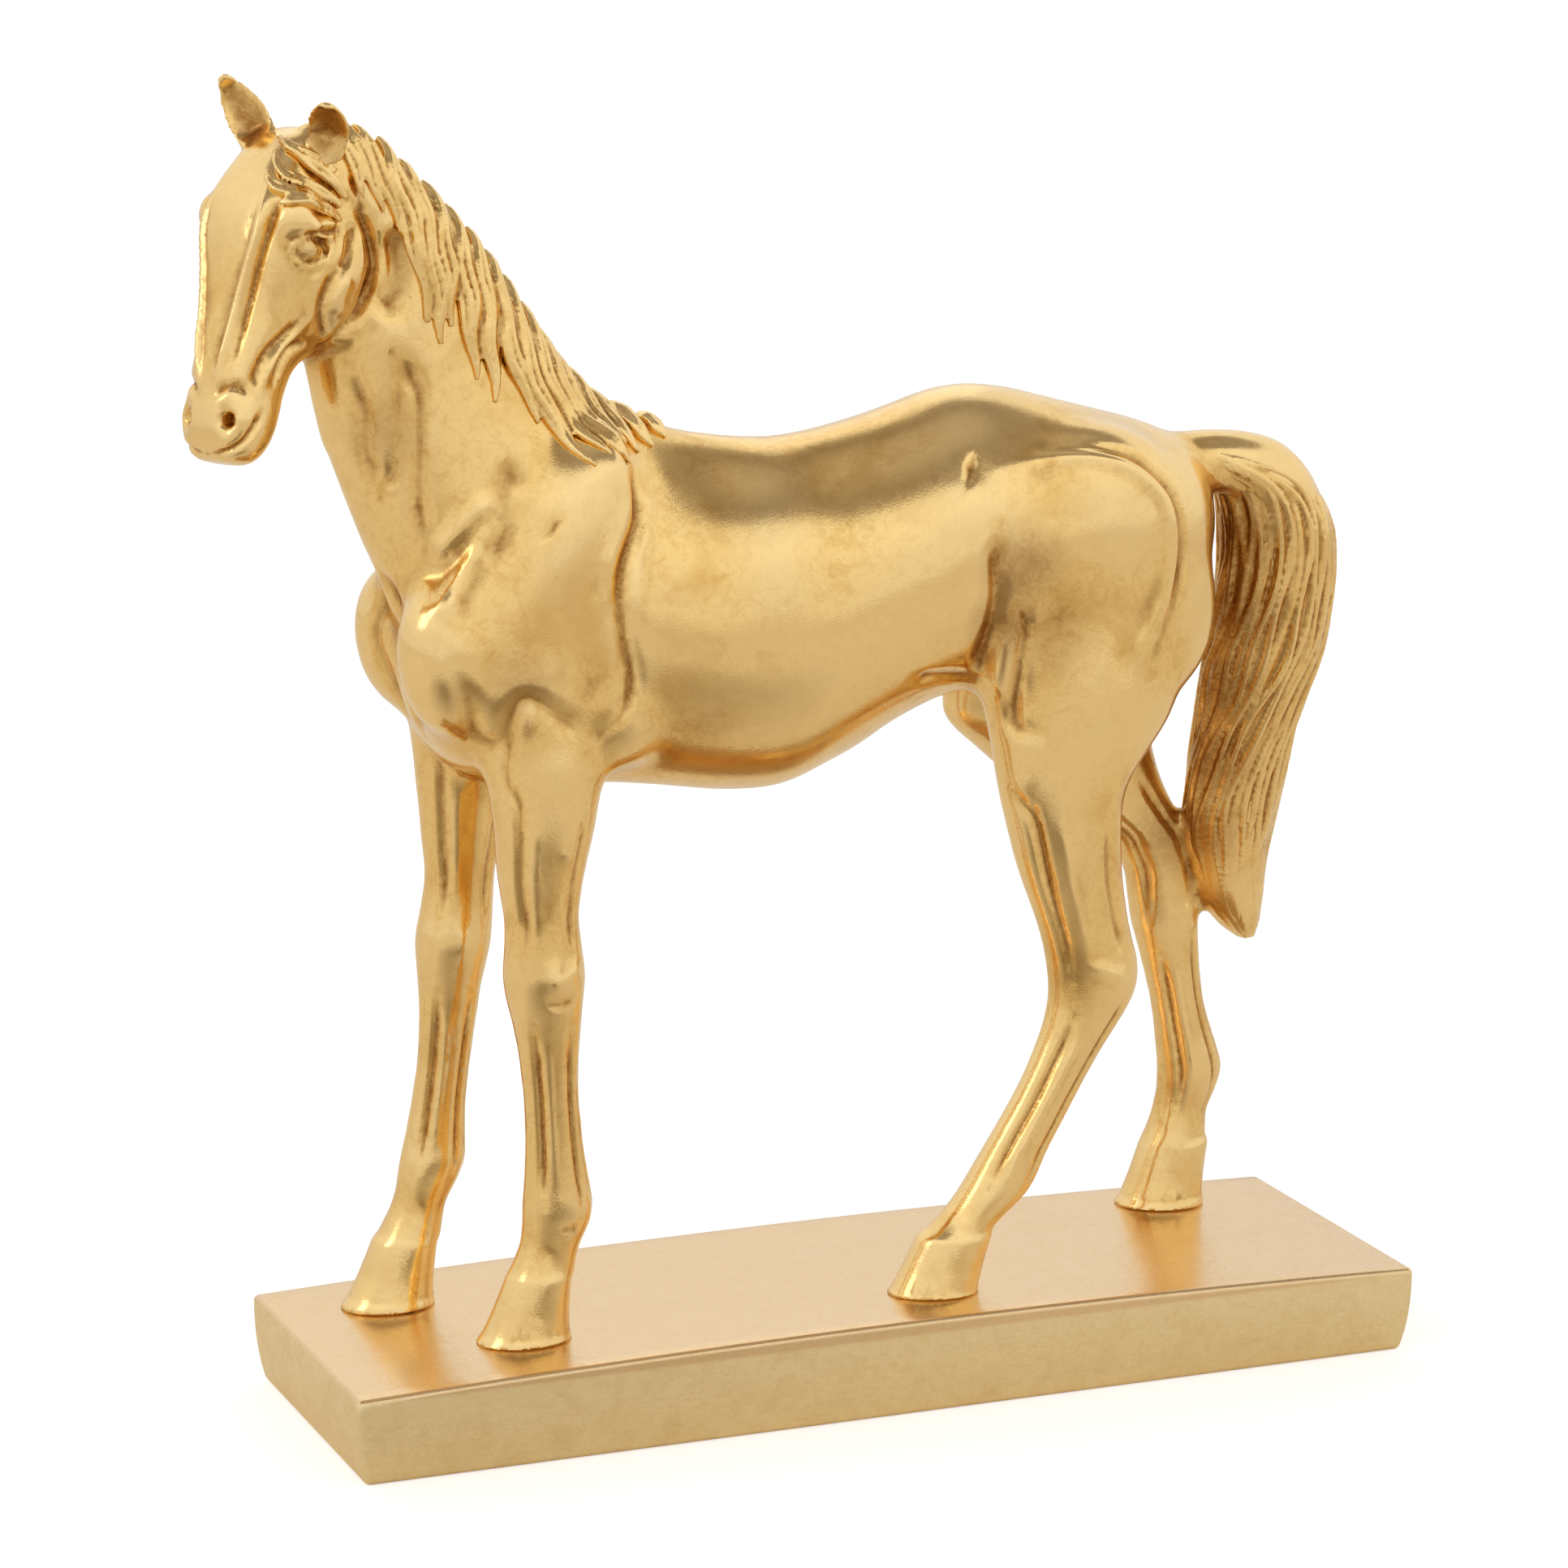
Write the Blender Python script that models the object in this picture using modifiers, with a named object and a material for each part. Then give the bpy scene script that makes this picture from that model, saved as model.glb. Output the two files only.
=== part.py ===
# Horse statuette on an oblong plinth, cast with its mane and tail.
# Metres, +Z up. The origin is the middle of the plinth's underside, the horse looks along -X
# and turns its head towards -Y. The horse is laid out on a grid of FIGURE_GRID units from the
# soles of its hooves to the tips of its ears, measured from its own midline.
import math

import bmesh
import bpy
import numpy as np
from mathutils import Matrix, Vector
from mathutils.bvhtree import BVHTree

# Driving sizes of the two pieces
HORSE_HEIGHT = 0.2690          # soles to ear tips
PLINTH_HEIGHT = 0.0192         # at its ends
PLINTH_CROWN = 0.0023          # how much higher the top stands in the middle of its length
PLINTH_TOE_MARGIN = 0.0150     # from the foremost toe to the plinth's front end
PLINTH_HEEL_MARGIN = 0.0222    # from the rearmost heel to its back end
PLINTH_NEAR_MARGIN = 0.0107    # from the outermost hooves to its near long side
PLINTH_FAR_MARGIN = 0.0057     # and to its far one
PLINTH_DRAFT = 0.0020          # how far each side draws in at the foot
PLINTH_EDGE_ROUND = 0.0012     # radius of every edge
HOOF_GAP = 0.0003              # between the soles and the plinth

# Grid and fineness of the casting
FIGURE_GRID = 269.0
BODY_GRAIN = 1.5               # voxel of the first casting, in grid units
LOCK_GRAIN = 1.15              # voxel of the second, with the locks and ears
HORSE_TRIANGLES = 8700
UNIT = HORSE_HEIGHT / FIGURE_GRID

# Head's pose: the poll's place, the turn from straight ahead, the face's slope and the roll
POLL = Vector((-125.2, -3.6, 253.8))
HEAD_TURN = math.radians(29)
FACE_SLOPE = math.radians(70.5)
HEAD_ROLL = math.radians(-2)
HEAD_FULLNESS = 0.62           # below 1 the head's sections are squarer than ellipses
MUZZLE_SHIFT = 1.2             # how far the muzzle stands to the left of the forehead's middle

# Trunk: x, top, bottom, half-width, crown share, keel share
TRUNK = [
    (-96, 163, 137, 15, 1.0, 1.0),
    (-92, 172, 128, 20.5, 1.0, 1.0),
    (-84, 184, 120, 23.5, 0.9, 1.0),
    (-73, 195, 117, 25, 0.75, 1.0),
    (-61, 199, 116, 26, 0.62, 1.0),
    (-49, 196.5, 115, 27, 0.6, 1.0),
    (-38, 191.5, 113.5, 27.5, 0.7, 1.0),
    (-26, 188.8, 111.7, 28.3, 0.8, 1.0),
    (-12, 187.4, 112, 29, 0.88, 1.0),
    (2, 189.3, 119, 29.2, 0.92, 1.0),
    (15, 192.5, 125.2, 28.8, 0.95, 1.0),
    (27, 196.2, 129.2, 28, 0.92, 0.98),
    (39, 195.8, 129, 27.5, 0.9, 0.95),
    (51, 192.6, 131, 27, 0.95, 0.95),
    (63, 189.2, 134, 26.5, 1.0, 0.95),
    (74, 186, 139, 23.5, 1.0, 1.0),
    (82, 181.5, 146, 18, 1.0, 1.0),
    (88, 174, 155, 10, 1.0, 1.0),
]

# Neck: crest x and z, throat x and z, sideways shift, half-width
NECK = [
    (-38, 190, -80, 128, 0, 24),
    (-51, 196.6, -96, 151, 0, 21.5),
    (-61, 206.6, -102.5, 166, -0.3, 17.5),
    (-67.5, 216.2, -107, 177, -0.6, 14.6),
    (-75, 227.9, -111, 187.5, -1, 12.2),
    (-84, 238.3, -113.5, 197, -1.4, 10.6),
    (-94, 248.6, -115, 206, -2, 9.8),
    (-105, 256.6, -116, 216, -2.6, 9.0),
    (-115, 258.2, -117, 228, -3.2, 7.8),
]

# Head: distance from the poll along the face, face line, jaw line, half-width,
# share at the face, share at the jaw
HEAD = [
    (-6, -9, -20, 7, 1.0, 0.9),
    (-2, -3.0, -22, 9.6, 1.0, 0.85),
    (4, 0.9, -23, 10.2, 1.05, 0.8),
    (9, 2.9, -26, 11.8, 1.1, 0.75),
    (15, 4.2, -31.6, 13.2, 1.08, 0.68),
    (21, 4.1, -33.8, 13.2, 1.02, 0.66),
    (27, 3.3, -33.4, 12.4, 1.0, 0.64),
    (33, 2.8, -30.0, 11.0, 1.0, 0.66),
    (37.5, 2.7, -24.4, 9.8, 1.02, 0.7),
    (42, 2.6, -18.2, 8.8, 1.08, 0.85),
    (48, 2.6, -15.8, 8.3, 1.1, 0.95),
    (53, 2.3, -14.8, 8.7, 1.1, 1.0),
    (57.5, 1.8, -13.8, 9.2, 1.1, 1.0),
    (62, 0.7, -11.8, 8.4, 1.1, 1.0),
    (65, -2.0, -8.8, 6.0, 1.0, 1.0),
]

# Legs: x, sideways place from the midline, z, half-depth, half-width
NEAR_FORELEG = [
    (-72, -15, 140, 15, 9), (-71, -16.5, 127, 13.8, 9.8), (-70.6, -17.5, 119, 12.6, 9.5),
    (-71, -17.8, 110, 11.2, 8.8), (-71.8, -17.8, 101, 9.6, 7.7), (-71.8, -17.8, 92.5, 8.1, 6.9),
    (-71.5, -17.8, 86, 8.3, 7.2), (-71.3, -17.8, 79.5, 8.9, 7.8), (-71.2, -17.8, 74.5, 8.4, 7.4),
    (-70.8, -17.8, 69, 7.5, 6.3), (-70.4, -17.8, 61.5, 6.6, 5.3), (-70, -17.8, 52.5, 6.1, 4.9),
    (-69.5, -17.8, 43.5, 6.3, 5.0), (-69.1, -17.8, 35.5, 7.0, 5.5), (-68.8, -17.8, 29.5, 7.7, 6.2),
    (-69.2, -17.8, 25, 7.4, 6.2), (-70.6, -17.8, 20.5, 6.6, 5.7), (-72, -17.8, 16.5, 6.9, 6.1),
    (-73, -17.8, 13, 7.6, 6.8),
]
FAR_FORELEG = [
    (-76, 15, 140, 15, 9), (-76.5, 16, 127, 13, 9.8), (-77, 16.5, 119, 11.6, 9.3),
    (-77.3, 17, 110, 10.2, 8.4), (-77.8, 17, 101, 8.8, 7.4), (-78.2, 17, 94, 7.7, 6.8),
    (-79, 17, 86.5, 8.0, 7.1), (-79.8, 17, 80.5, 8.4, 7.6), (-80.2, 17, 76, 8.0, 7.2),
    (-80.8, 17, 69.5, 7.0, 6.0), (-81.3, 17, 62.5, 6.4, 5.2), (-82.3, 17, 53.5, 6.0, 4.9),
    (-83.6, 17, 44.5, 6.1, 5.0), (-84.6, 17, 36, 6.8, 5.5), (-85.3, 17, 31, 7.3, 6.1),
    (-86.6, 17, 26.5, 6.7, 5.8), (-88.4, 17, 22, 6.0, 5.4), (-90, 17, 17.5, 6.6, 6.1),
    (-91.4, 17, 13.5, 7.6, 6.8),
]
NEAR_HINDLEG = [
    (56, -12, 152, 26, 14), (52.5, -13.5, 138, 23, 14), (52.8, -15.5, 126.5, 22.6, 13),
    (50, -17, 117.5, 18.6, 11.8), (47.4, -18, 109, 14.7, 10.4), (47.8, -19, 100, 13.1, 9.1),
    (49, -19.6, 91, 11.8, 7.9), (51.2, -20, 82, 10.7, 7.1), (52.8, -20, 76, 10.4, 7.0),
    (54.2, -20, 70, 10.6, 7.1), (54.0, -20.3, 64, 10.1, 6.8), (51.6, -20.6, 58, 9, 6.2),
    (48.2, -21, 52, 8.1, 5.5), (44.3, -21.3, 45.2, 7.6, 5.2), (39.3, -21.6, 37, 7.7, 5.2),
    (34.9, -21.8, 30, 7.9, 5.5), (31.4, -22, 24, 8.3, 6.0), (28.6, -22, 20.3, 8.2, 6.0),
    (25, -22, 17, 7.7, 5.8), (22, -22, 14.4, 7.9, 6.3), (20.2, -22, 12.6, 8.3, 6.9),
]
FAR_HINDLEG = [
    (56, 12, 152, 26, 14), (56.5, 13.5, 138, 24, 14), (58, 15.5, 128.5, 23, 13.2),
    (59, 16.8, 120, 25.5, 12), (63.5, 18, 112.5, 22, 10.8), (70, 19.5, 104, 18, 9.6),
    (79, 21, 96, 12.8, 8.4), (87, 22, 88, 9.6, 7.5), (90.6, 22.5, 80, 8.8, 7.1),
    (91.8, 23, 73, 8.5, 7.0), (92.2, 23, 67.5, 8.1, 6.7), (93, 23, 62.5, 7.5, 6.0),
    (94.2, 23, 56, 6.9, 5.4), (95.6, 23, 48.5, 6.4, 5.1), (96.9, 23, 42.5, 6.7, 5.2),
    (98.4, 23, 36, 7.4, 5.7), (99.2, 23, 31, 7.8, 6.1), (98.5, 23, 26.5, 7.2, 5.9),
    (96.8, 23, 21.5, 6.5, 5.7), (95.9, 23, 17, 7.2, 6.3), (94.8, 23, 13.5, 8.0, 6.9),
]
# Hooves: toe and heel at the coronet and its height, toe and heel at the sole, sideways place
HOOVES = {
    "near fore": (-80.4, -66.3, 13.5, -86.6, -66.8, -17.8),
    "far fore": (-99.2, -84.8, 13.5, -105.6, -86, 17),
    "near hind": (12.0, 29.2, 12.6, 5.2, 25.6, -22),
    "far hind": (87.0, 103.4, 13.5, 81.6, 102, 23),
}
HOOF_HALF_WIDTH = 8.2
CORONET_HALF_WIDTH = 6.8
HOOF_DEEPENING = 2.2           # cast this far below the soles, then cut off flat

# Tail: x, sideways place, z, half-depth, half-width, down the hair
TAIL = [
    (74, 0, 176, 5, 6), (84, 0, 178, 5.5, 7), (93.5, 0, 175.8, 7.4, 8.5), (103, 0.5, 170.2, 10.9, 9.4),
    (107, 1, 161, 12.8, 10), (108.2, 2, 150.5, 13.1, 10.2), (107.9, 3.5, 140, 12.8, 10.2),
    (107.2, 5.5, 130.7, 12.7, 10), (106.1, 8, 121, 11.6, 9.8), (105.2, 10.5, 111.5, 10.8, 9.5),
    (104.7, 13, 101, 10.7, 9.1), (104.5, 15.5, 91.3, 10.6, 8.6), (105.3, 18, 81.7, 9.6, 7.8),
    (107, 19.5, 72.3, 8.2, 6.4), (109.8, 20.5, 65.5, 5, 4.4), (112, 21, 61.5, 1.8, 2),
]

# Muscles under the skin: centre, half-sizes and turn about Y in degrees, on the near side;
# each is made again on the far side unless it lies on the midline
MUSCLES = [
    ((-66, -14.5, 166), (14, 11.5, 30), 24),    # shoulder blade
    ((-74, -16, 141), (15, 11, 16), 20),        # upper arm
    ((-91.8, -14.5, 147), (9.8, 10, 16.5), -8),   # point of the shoulder
    ((-56, -18, 136), (12, 8.5, 15), -24),      # elbow
    ((54, -14, 164), (27, 14, 25), 12),         # haunch
    ((66.5, -12.5, 151), (19, 12.5, 26), -16),  # buttock
    ((38, -17, 143), (11, 9, 16), 14),          # stifle
    ((-18, 0, 150.5), (43, 28.8, 37), 2),     # barrel
]

# What the stance gives: the plinth's plan and where the horse's own grid starts on it
TOE = min(hoof[3] for hoof in HOOVES.values())
HEEL = max(hoof[4] for hoof in HOOVES.values())
NEAR_SIDE = min(hoof[5] for hoof in HOOVES.values()) - HOOF_HALF_WIDTH
FAR_SIDE = max(hoof[5] for hoof in HOOVES.values()) + HOOF_HALF_WIDTH
PLINTH_LENGTH = (HEEL - TOE) * UNIT + PLINTH_TOE_MARGIN + PLINTH_HEEL_MARGIN
PLINTH_WIDTH = (FAR_SIDE - NEAR_SIDE) * UNIT + PLINTH_NEAR_MARGIN + PLINTH_FAR_MARGIN
STANCE_SHIFT = PLINTH_TOE_MARGIN - PLINTH_LENGTH / 2 - TOE * UNIT
MIDLINE_SHIFT = PLINTH_NEAR_MARGIN - PLINTH_WIDTH / 2 - NEAR_SIDE * UNIT

# Locks of the mane, all on the near side. Down the crest from the poll (0) to the withers (1):
# the locks' length and their slope below level at the root and at the tip, in degrees
MANE = [
    (0.0, 46, 42, 86), (0.17, 38, 60, 92), (0.34, 27, 76, 99), (0.5, 33, 84, 100),
    (0.63, 37, 90, 66), (0.77, 26, 88, 54), (0.88, 11, 72, 42), (1.0, 5, 60, 40),
]
MANE_LOCKS = 13
MANE_END = 0.86                # how far down the crest the last lock starts
MANE_LOCK_RADIUS = 2.7
MANE_GROOVE = 1.4              # depth between two locks
MANE_FALL = 1.2                # how strongly the locks turn off the crest to the near side
TAIL_LOCKS = 8
TAIL_LOCK_RADIUS = 3.4
# Forelock: each lock's points in the head's own measures, laid on the skin
FORELOCKS = [
    [(-0.5, -2, 3.5), (0.5, -4, 7.5), (2, -7.5, 11), (4.5, -11, 13), (7.5, -14.5, 13)],
    [(0.5, -1, 3.5), (4.5, -1, 7.0), (6, -4, 10), (7, -9.5, 12), (9, -14, 12.5)],
    [(6.5, 2, 4.5), (9, 1.5, 8), (10, -2.5, 11.5), (9.8, -8.5, 12.5), (10.8, -13, 12.5)],
]
FORELOCK_RADIUS = 1.5

# Ears: root and tip in the head's own measures, the side it opens to, half-width
EARS = [
    ((-1, -5, -4.6), (-13.8, 2.5, -12.2), (-0.45, -0.88, 0.1), 4.6),
    ((-1, -8, 11.2), (-8.4, 1.5, 18.0), (-0.5, -0.8, -0.25), 5.0),
]

# Grooves and ridges on the near side, seen square to the midline: depth (a ridge is
# negative), half-width and the x and z of its points
NEAR_STROKES = [
    (1.3, 2.2, [(-101, 199), (-98, 190), (-92, 176), (-86, 166)]),
    (1.0, 2.0, [(-94, 212), (-88, 201), (-85, 188), (-84, 176), (-83, 166)]),
    (1.4, 2.2, [(-80, 163), (-73, 171), (-66, 180)]),
    (1.0, 2.0, [(-40, 191), (-38, 183), (-36, 174), (-38, 164), (-42, 152)]),
    (1.2, 2.2, [(-77, 140), (-69, 133), (-62, 128), (-52, 125), (-44, 133), (-41, 143)]),
    (1.2, 2.0, [(47, 172), (46, 164), (45, 155), (42, 146), (41, 138)]),
    (0.9, 2.2, [(46, 184), (58, 187), (70, 183), (80, 172), (84, 160), (81, 145), (74, 132)]),
    (1.0, 2.0, [(47, 112), (52, 104), (55, 94), (58, 84)]),
]

# Hollows and grooves of the face on its left side, in the head's own measures, each made
# again on its right side: depth, half-width and points
FACE_STROKES = [
    # lid fold
    (1.3, 1.3, [(20, -2.2, 12), (17, -1.6, 13.5), (15, -4.5, 13.5), (14, -9.5, 13), (13.4, -13, 12.5)]),
    # lower lid
    (1.2, 1.2, [(23, -3.8, 11.5), (23.8, -6.5, 12), (22.6, -10, 12.5)]),
    # nostril
    (3.0, 1.6, [(55.2, 0.8, 6.2), (56.8, 0.2, 6.4), (58.6, -0.4, 6.4)]),
    # mouth
    (1.5, 1.1, [(54, -6, 8.6), (57, -5.2, 8.4), (60.5, -4.6, 6.6), (63.5, -3.6, 3.5), (64.6, -3.2, 0)]),
    # to the nostril
    (1.2, 1.6, [(50, -2, 7.4), (44, -3.6, 8.2), (37, -8, 9.6), (33, -11, 10.6)]),
    # to the mouth
    (1.1, 1.5, [(47, -7.6, 8), (40.5, -9.8, 9), (37.5, -14.5, 9.6)]),
    # cheek's front
    (1.3, 1.8, [(21.5, -14, 13), (26, -12.6, 12.6), (30.5, -13, 12), (34, -15.5, 11), (37, -19, 10)]),
    # temple
    (0.8, 2.0, [(9, -14, 12.5), (12.5, -16, 13), (18, -17, 13)]),
    # behind the jaw
    (2.0, 1.8, [(6, -22, 11), (11, -29, 11), (17, -33.8, 10), (24, -36, 9), (31, -35, 8)]),
    # nasal edge
    (-0.9, 1.2, [(9, 2.4, 7.2), (18, 2.6, 7.8), (30, 2.2, 6.0), (42, 2.4, 4.4), (52, 2.4, 3.6)]),
]


def resample(stations, steps):
    """Pass a smooth curve through the stations, with a few rows between each pair."""
    rows = [np.array(row, dtype=float) for row in stations]
    rows = [2 * rows[0] - rows[1]] + rows + [2 * rows[-1] - rows[-2]]
    out = []
    for a, b, c, d in zip(rows, rows[1:], rows[2:], rows[3:]):
        for step in range(steps):
            t = step / steps
            out.append(0.5 * (2 * b + (c - a) * t + (2 * a - 5 * b + 4 * c - d) * t * t
                              + (3 * b - a - 3 * c + d) * t ** 3))
    out.append(rows[-2])
    return out


def section(top, bottom, sideways, half_width, crown=1.0, keel=1.0, fullness=1.0, count=24):
    """One closed ring from a top point to a bottom point, with its own shares of width.

    A fullness below 1 makes the ring squarer than an ellipse."""
    ring = []
    for index in range(count):
        angle = math.tau * index / count
        down = 0.5 - 0.5 * math.cos(angle)
        share = crown * (1 - down) * (1 - 2 * down) + 4 * down * (1 - down) - keel * down * (1 - 2 * down)
        side = math.copysign(abs(math.sin(angle)) ** fullness, math.sin(angle))
        ring.append(top + (bottom - top) * down + sideways * (half_width * side * share))
    return ring


def loft(body, rings):
    """Skin a row of rings and close both ends."""
    rows = [[body.verts.new(point) for point in ring] for ring in rings]
    count = len(rows[0])
    for first, second in zip(rows, rows[1:]):
        for index in range(count):
            after = (index + 1) % count
            body.faces.new((first[index], first[after], second[after], second[index]))
    body.faces.new(rows[0][::-1])
    body.faces.new(rows[-1])


def add_tube(body, points, radii, flat=1.0, side=None, count=10):
    """A tapered tube through the points; `flat` thins it along `side`."""
    rings = []
    for index, point in enumerate(points):
        along = (points[min(index + 1, len(points) - 1)] - points[max(index - 1, 0)]).normalized()
        across = side[index] if side else Vector((0, 1, 0))
        across = (across - along * across.dot(along)).normalized()
        wide = along.cross(across)
        ring = []
        for step in range(count):
            angle = math.tau * step / count
            ring.append(point + wide * (radii[index] * math.cos(angle))
                        + across * (radii[index] * flat * math.sin(angle)))
        rings.append(ring)
    loft(body, rings)


def add_ball(body, centre, sizes, turn=Matrix.Identity(3)):
    """An ellipsoid."""
    shape = Matrix.Translation(centre) @ turn.to_4x4() @ Matrix.Diagonal((*sizes, 1))
    bmesh.ops.create_uvsphere(body, u_segments=20, v_segments=12, radius=1, matrix=shape)


def head_frame():
    """The head's axes: down the face, out of the face and towards its left side."""
    ahead = Vector((-math.cos(HEAD_TURN), -math.sin(HEAD_TURN), 0))
    up = Vector((0, 0, 1))
    face_down = ahead * math.cos(FACE_SLOPE) - up * math.sin(FACE_SLOPE)
    face_out = ahead * math.sin(FACE_SLOPE) + up * math.cos(FACE_SLOPE)
    left = up.cross(ahead)
    roll = Matrix.Rotation(-HEAD_ROLL, 3, ahead)
    return roll @ face_down, roll @ face_out, roll @ left


def head_point(down, out, left):
    """A point of the head from its distances down the face, out of it and to its left."""
    face_down, face_out, to_left = head_frame()
    aside = left + MUZZLE_SHIFT * min(1.0, max(0.0, (down - 34) / 18))
    return POLL + face_down * down + face_out * out + to_left * aside


def add_trunk(body):
    rings = []
    for x, top, bottom, half, crown, keel in resample(TRUNK, 3):
        rings.append(section(Vector((x, 0, top)), Vector((x, 0, bottom)), Vector((0, 1, 0)), half, crown, keel))
    loft(body, rings)
    for centre, sizes, tilt in MUSCLES:
        turn = Matrix.Rotation(math.radians(tilt), 3, "Y")
        add_ball(body, Vector(centre), sizes, turn)
        if centre[1]:
            add_ball(body, Vector((centre[0], -centre[1], centre[2])), sizes, turn)


def add_neck(body):
    rings = []
    for crest_x, crest_z, throat_x, throat_z, shift, half in resample(NECK, 3):
        turn = HEAD_TURN * min(1, max(0, -shift / 3.2))
        sideways = Vector((-math.sin(turn), math.cos(turn), 0))
        rings.append(section(Vector((crest_x, shift, crest_z)), Vector((throat_x, shift, throat_z)),
                             sideways, half, 0.75, 0.95))
    loft(body, rings)


def add_head(body):
    left = head_frame()[2]
    rings = []
    for down, face, jaw, half, crown, keel in resample(HEAD, 3):
        rings.append(section(head_point(down, face, 0), head_point(down, jaw, 0), left, half, crown, keel,
                             HEAD_FULLNESS))
    loft(body, rings)
    axes = Matrix(head_frame()).transposed()
    for side in (-1, 1):
        add_ball(body, head_point(24.5, -19.5, side * 6.6), (14.5, 14, 7.0), axes)    # cheek
        add_ball(body, head_point(14.5, -3.0, side * 10.2), (5.4, 4.4, 4.8), axes)    # brow
        add_ball(body, head_point(56, -2.2, side * 5.6), (5.0, 4.2, 4.0), axes)       # nostril's wing
    add_ball(body, head_point(60.5, -9.4, 0), (4.2, 4.0, 5.8), axes)                  # chin


def add_leg(body, stations):
    rings = []
    for x, y, z, depth, half in resample(stations, 2):
        rings.append(section(Vector((x - depth, y, z)), Vector((x + depth, y, z)), Vector((0, 1, 0)), half))
    loft(body, rings)


def add_hoof(body, coronet_toe, coronet_heel, coronet_z, sole_toe, sole_heel, y):
    """A hoof flares from the coronet and runs on below its sole."""
    rings = []
    for share in (-0.12, 0, 0.5, 1.0, 1.0 + HOOF_DEEPENING / coronet_z):
        toe = coronet_toe + (sole_toe - coronet_toe) * share
        heel = coronet_heel + (sole_heel - coronet_heel) * share
        half = CORONET_HALF_WIDTH + (HOOF_HALF_WIDTH - CORONET_HALF_WIDTH) * share
        height = coronet_z * (1 - share)
        tuck = 0.9 if share < 0 else 1.0
        middle = (toe + heel) / 2
        rings.append(section(Vector((middle + (toe - middle) * tuck, y, height)),
                             Vector((middle + (heel - middle) * tuck, y, height)),
                             Vector((0, 1, 0)), half * tuck, 0.95, 1.15))
    loft(body, rings)


def add_tail(body):
    rings = []
    for x, y, z, depth, half in resample(TAIL, 3):
        rise = min(1.0, max(0.0, (z - 158) / 16))
        lean = Vector((1 - 0.8 * rise, 0, 0.98 * rise)).normalized()
        rings.append(section(Vector((x, y, z)) + lean * depth, Vector((x, y, z)) - lean * depth,
                             Vector((0, 1, 0)), half))
    loft(body, rings)


def add_ear(body, base, tip, facing, half):
    """A leaf-shaped ear that opens to one side."""
    along = (tip - base).normalized()
    across = along.cross(facing).normalized()
    front = across.cross(along).normalized()
    rings = []
    for share, width, depth in ((-0.1, 0.85, 0.85), (0.15, 1.0, 0.9), (0.4, 1.05, 0.8), (0.65, 0.85, 0.62),
                                (0.85, 0.55, 0.45), (1.0, 0.26, 0.26)):
        centre = base + (tip - base) * share
        ring = []
        for step in range(20):
            angle = math.tau * step / 20
            out = math.sin(angle)
            hollow = 1.15 * max(0.0, out) ** 1.5 if 0 < share < 0.95 else 0
            ring.append(centre + across * (half * width * math.cos(angle))
                        + front * (half * depth * (out - hollow)))
        rings.append(ring)
    loft(body, rings)


def comb(tree, start, slope, end_slope, length, lift, steps=10):
    """A path on the skin from a root, that steepens from one slope to another."""
    point = Vector(start)
    path = []
    normals = []
    for step in range(steps):
        spot, normal, _, _ = tree.find_nearest(point)
        path.append(spot + normal * lift)
        normals.append(normal)
        dip = math.radians(slope + (end_slope - slope) * step / (steps - 1))
        wave = 0.16 * math.sin(step * 1.4 + start[0])
        ahead = Vector((math.cos(dip + wave), -MANE_FALL * max(0.0, normal.z), -math.sin(dip + wave)))
        ahead = (ahead - normal * ahead.dot(normal)).normalized()
        point = spot + ahead * (length / (steps - 1))
    return path, normals


def taper(count, radius, tip=0.25):
    """Radii of a lock: full over most of its length, thin at the root and thinner at the tip."""
    radii = []
    for index in range(count):
        share = index / (count - 1)
        radii.append(radius * min(1.0, 0.75 + share, tip + (1 - share) * 2.2))
    return radii


def crest_point(share):
    """A point of the crest from the poll (0) to the withers (1)."""
    rows = resample([(row[0], row[1], row[4]) for row in NECK[::-1]], 4)
    place = share * (len(rows) - 1)
    index = min(int(place), len(rows) - 2)
    x, z, y = rows[index] + (rows[index + 1] - rows[index]) * (place - index)
    return Vector((x, y, z))


def mane_path(tree, share, start, lift, swing=1.0):
    """A path of the mane's hair from the crest at a share of its run."""
    shares = [row[0] for row in MANE]
    length, root_slope, tip_slope = (np.interp(share, shares, column) for column in list(zip(*MANE))[1:])
    root = crest_point(share) + Vector((0, start, 0.4 - 1.8 * share))
    return comb(tree, root, root_slope, tip_slope, length * swing, lift)


def lock_share(place):
    """Share of the crest at which a lock of the mane starts, counted from the poll."""
    return 0.02 + (MANE_END - 0.02) * place / (MANE_LOCKS - 1)


def add_mane(body, tree):
    for index in range(MANE_LOCKS):
        share = lock_share(index)
        radius = MANE_LOCK_RADIUS * (1 - 0.4 * share)
        path, normals = mane_path(tree, share, 0.5, 0.5 * radius, 1 + 0.1 * math.sin(index * 2.3))
        add_tube(body, path, taper(len(path), radius), 0.9, normals)


def mane_strokes(tree):
    """Grooves between the locks of the mane."""
    strokes = []
    for index in range(MANE_LOCKS - 1):
        path, _ = mane_path(tree, lock_share(index + 0.5), -0.5, 1.2, 0.95)
        strokes.append((MANE_GROOVE, 1.2, path))
    return strokes


def add_forelock(body, tree):
    for lock in FORELOCKS:
        path = []
        normals = []
        for place in resample(lock, 3):
            spot, normal, _, _ = tree.find_nearest(head_point(*place))
            path.append(spot + normal * 0.3 * FORELOCK_RADIUS)
            normals.append(normal)
        add_tube(body, path, taper(len(path), FORELOCK_RADIUS), 0.8, normals)


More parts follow.
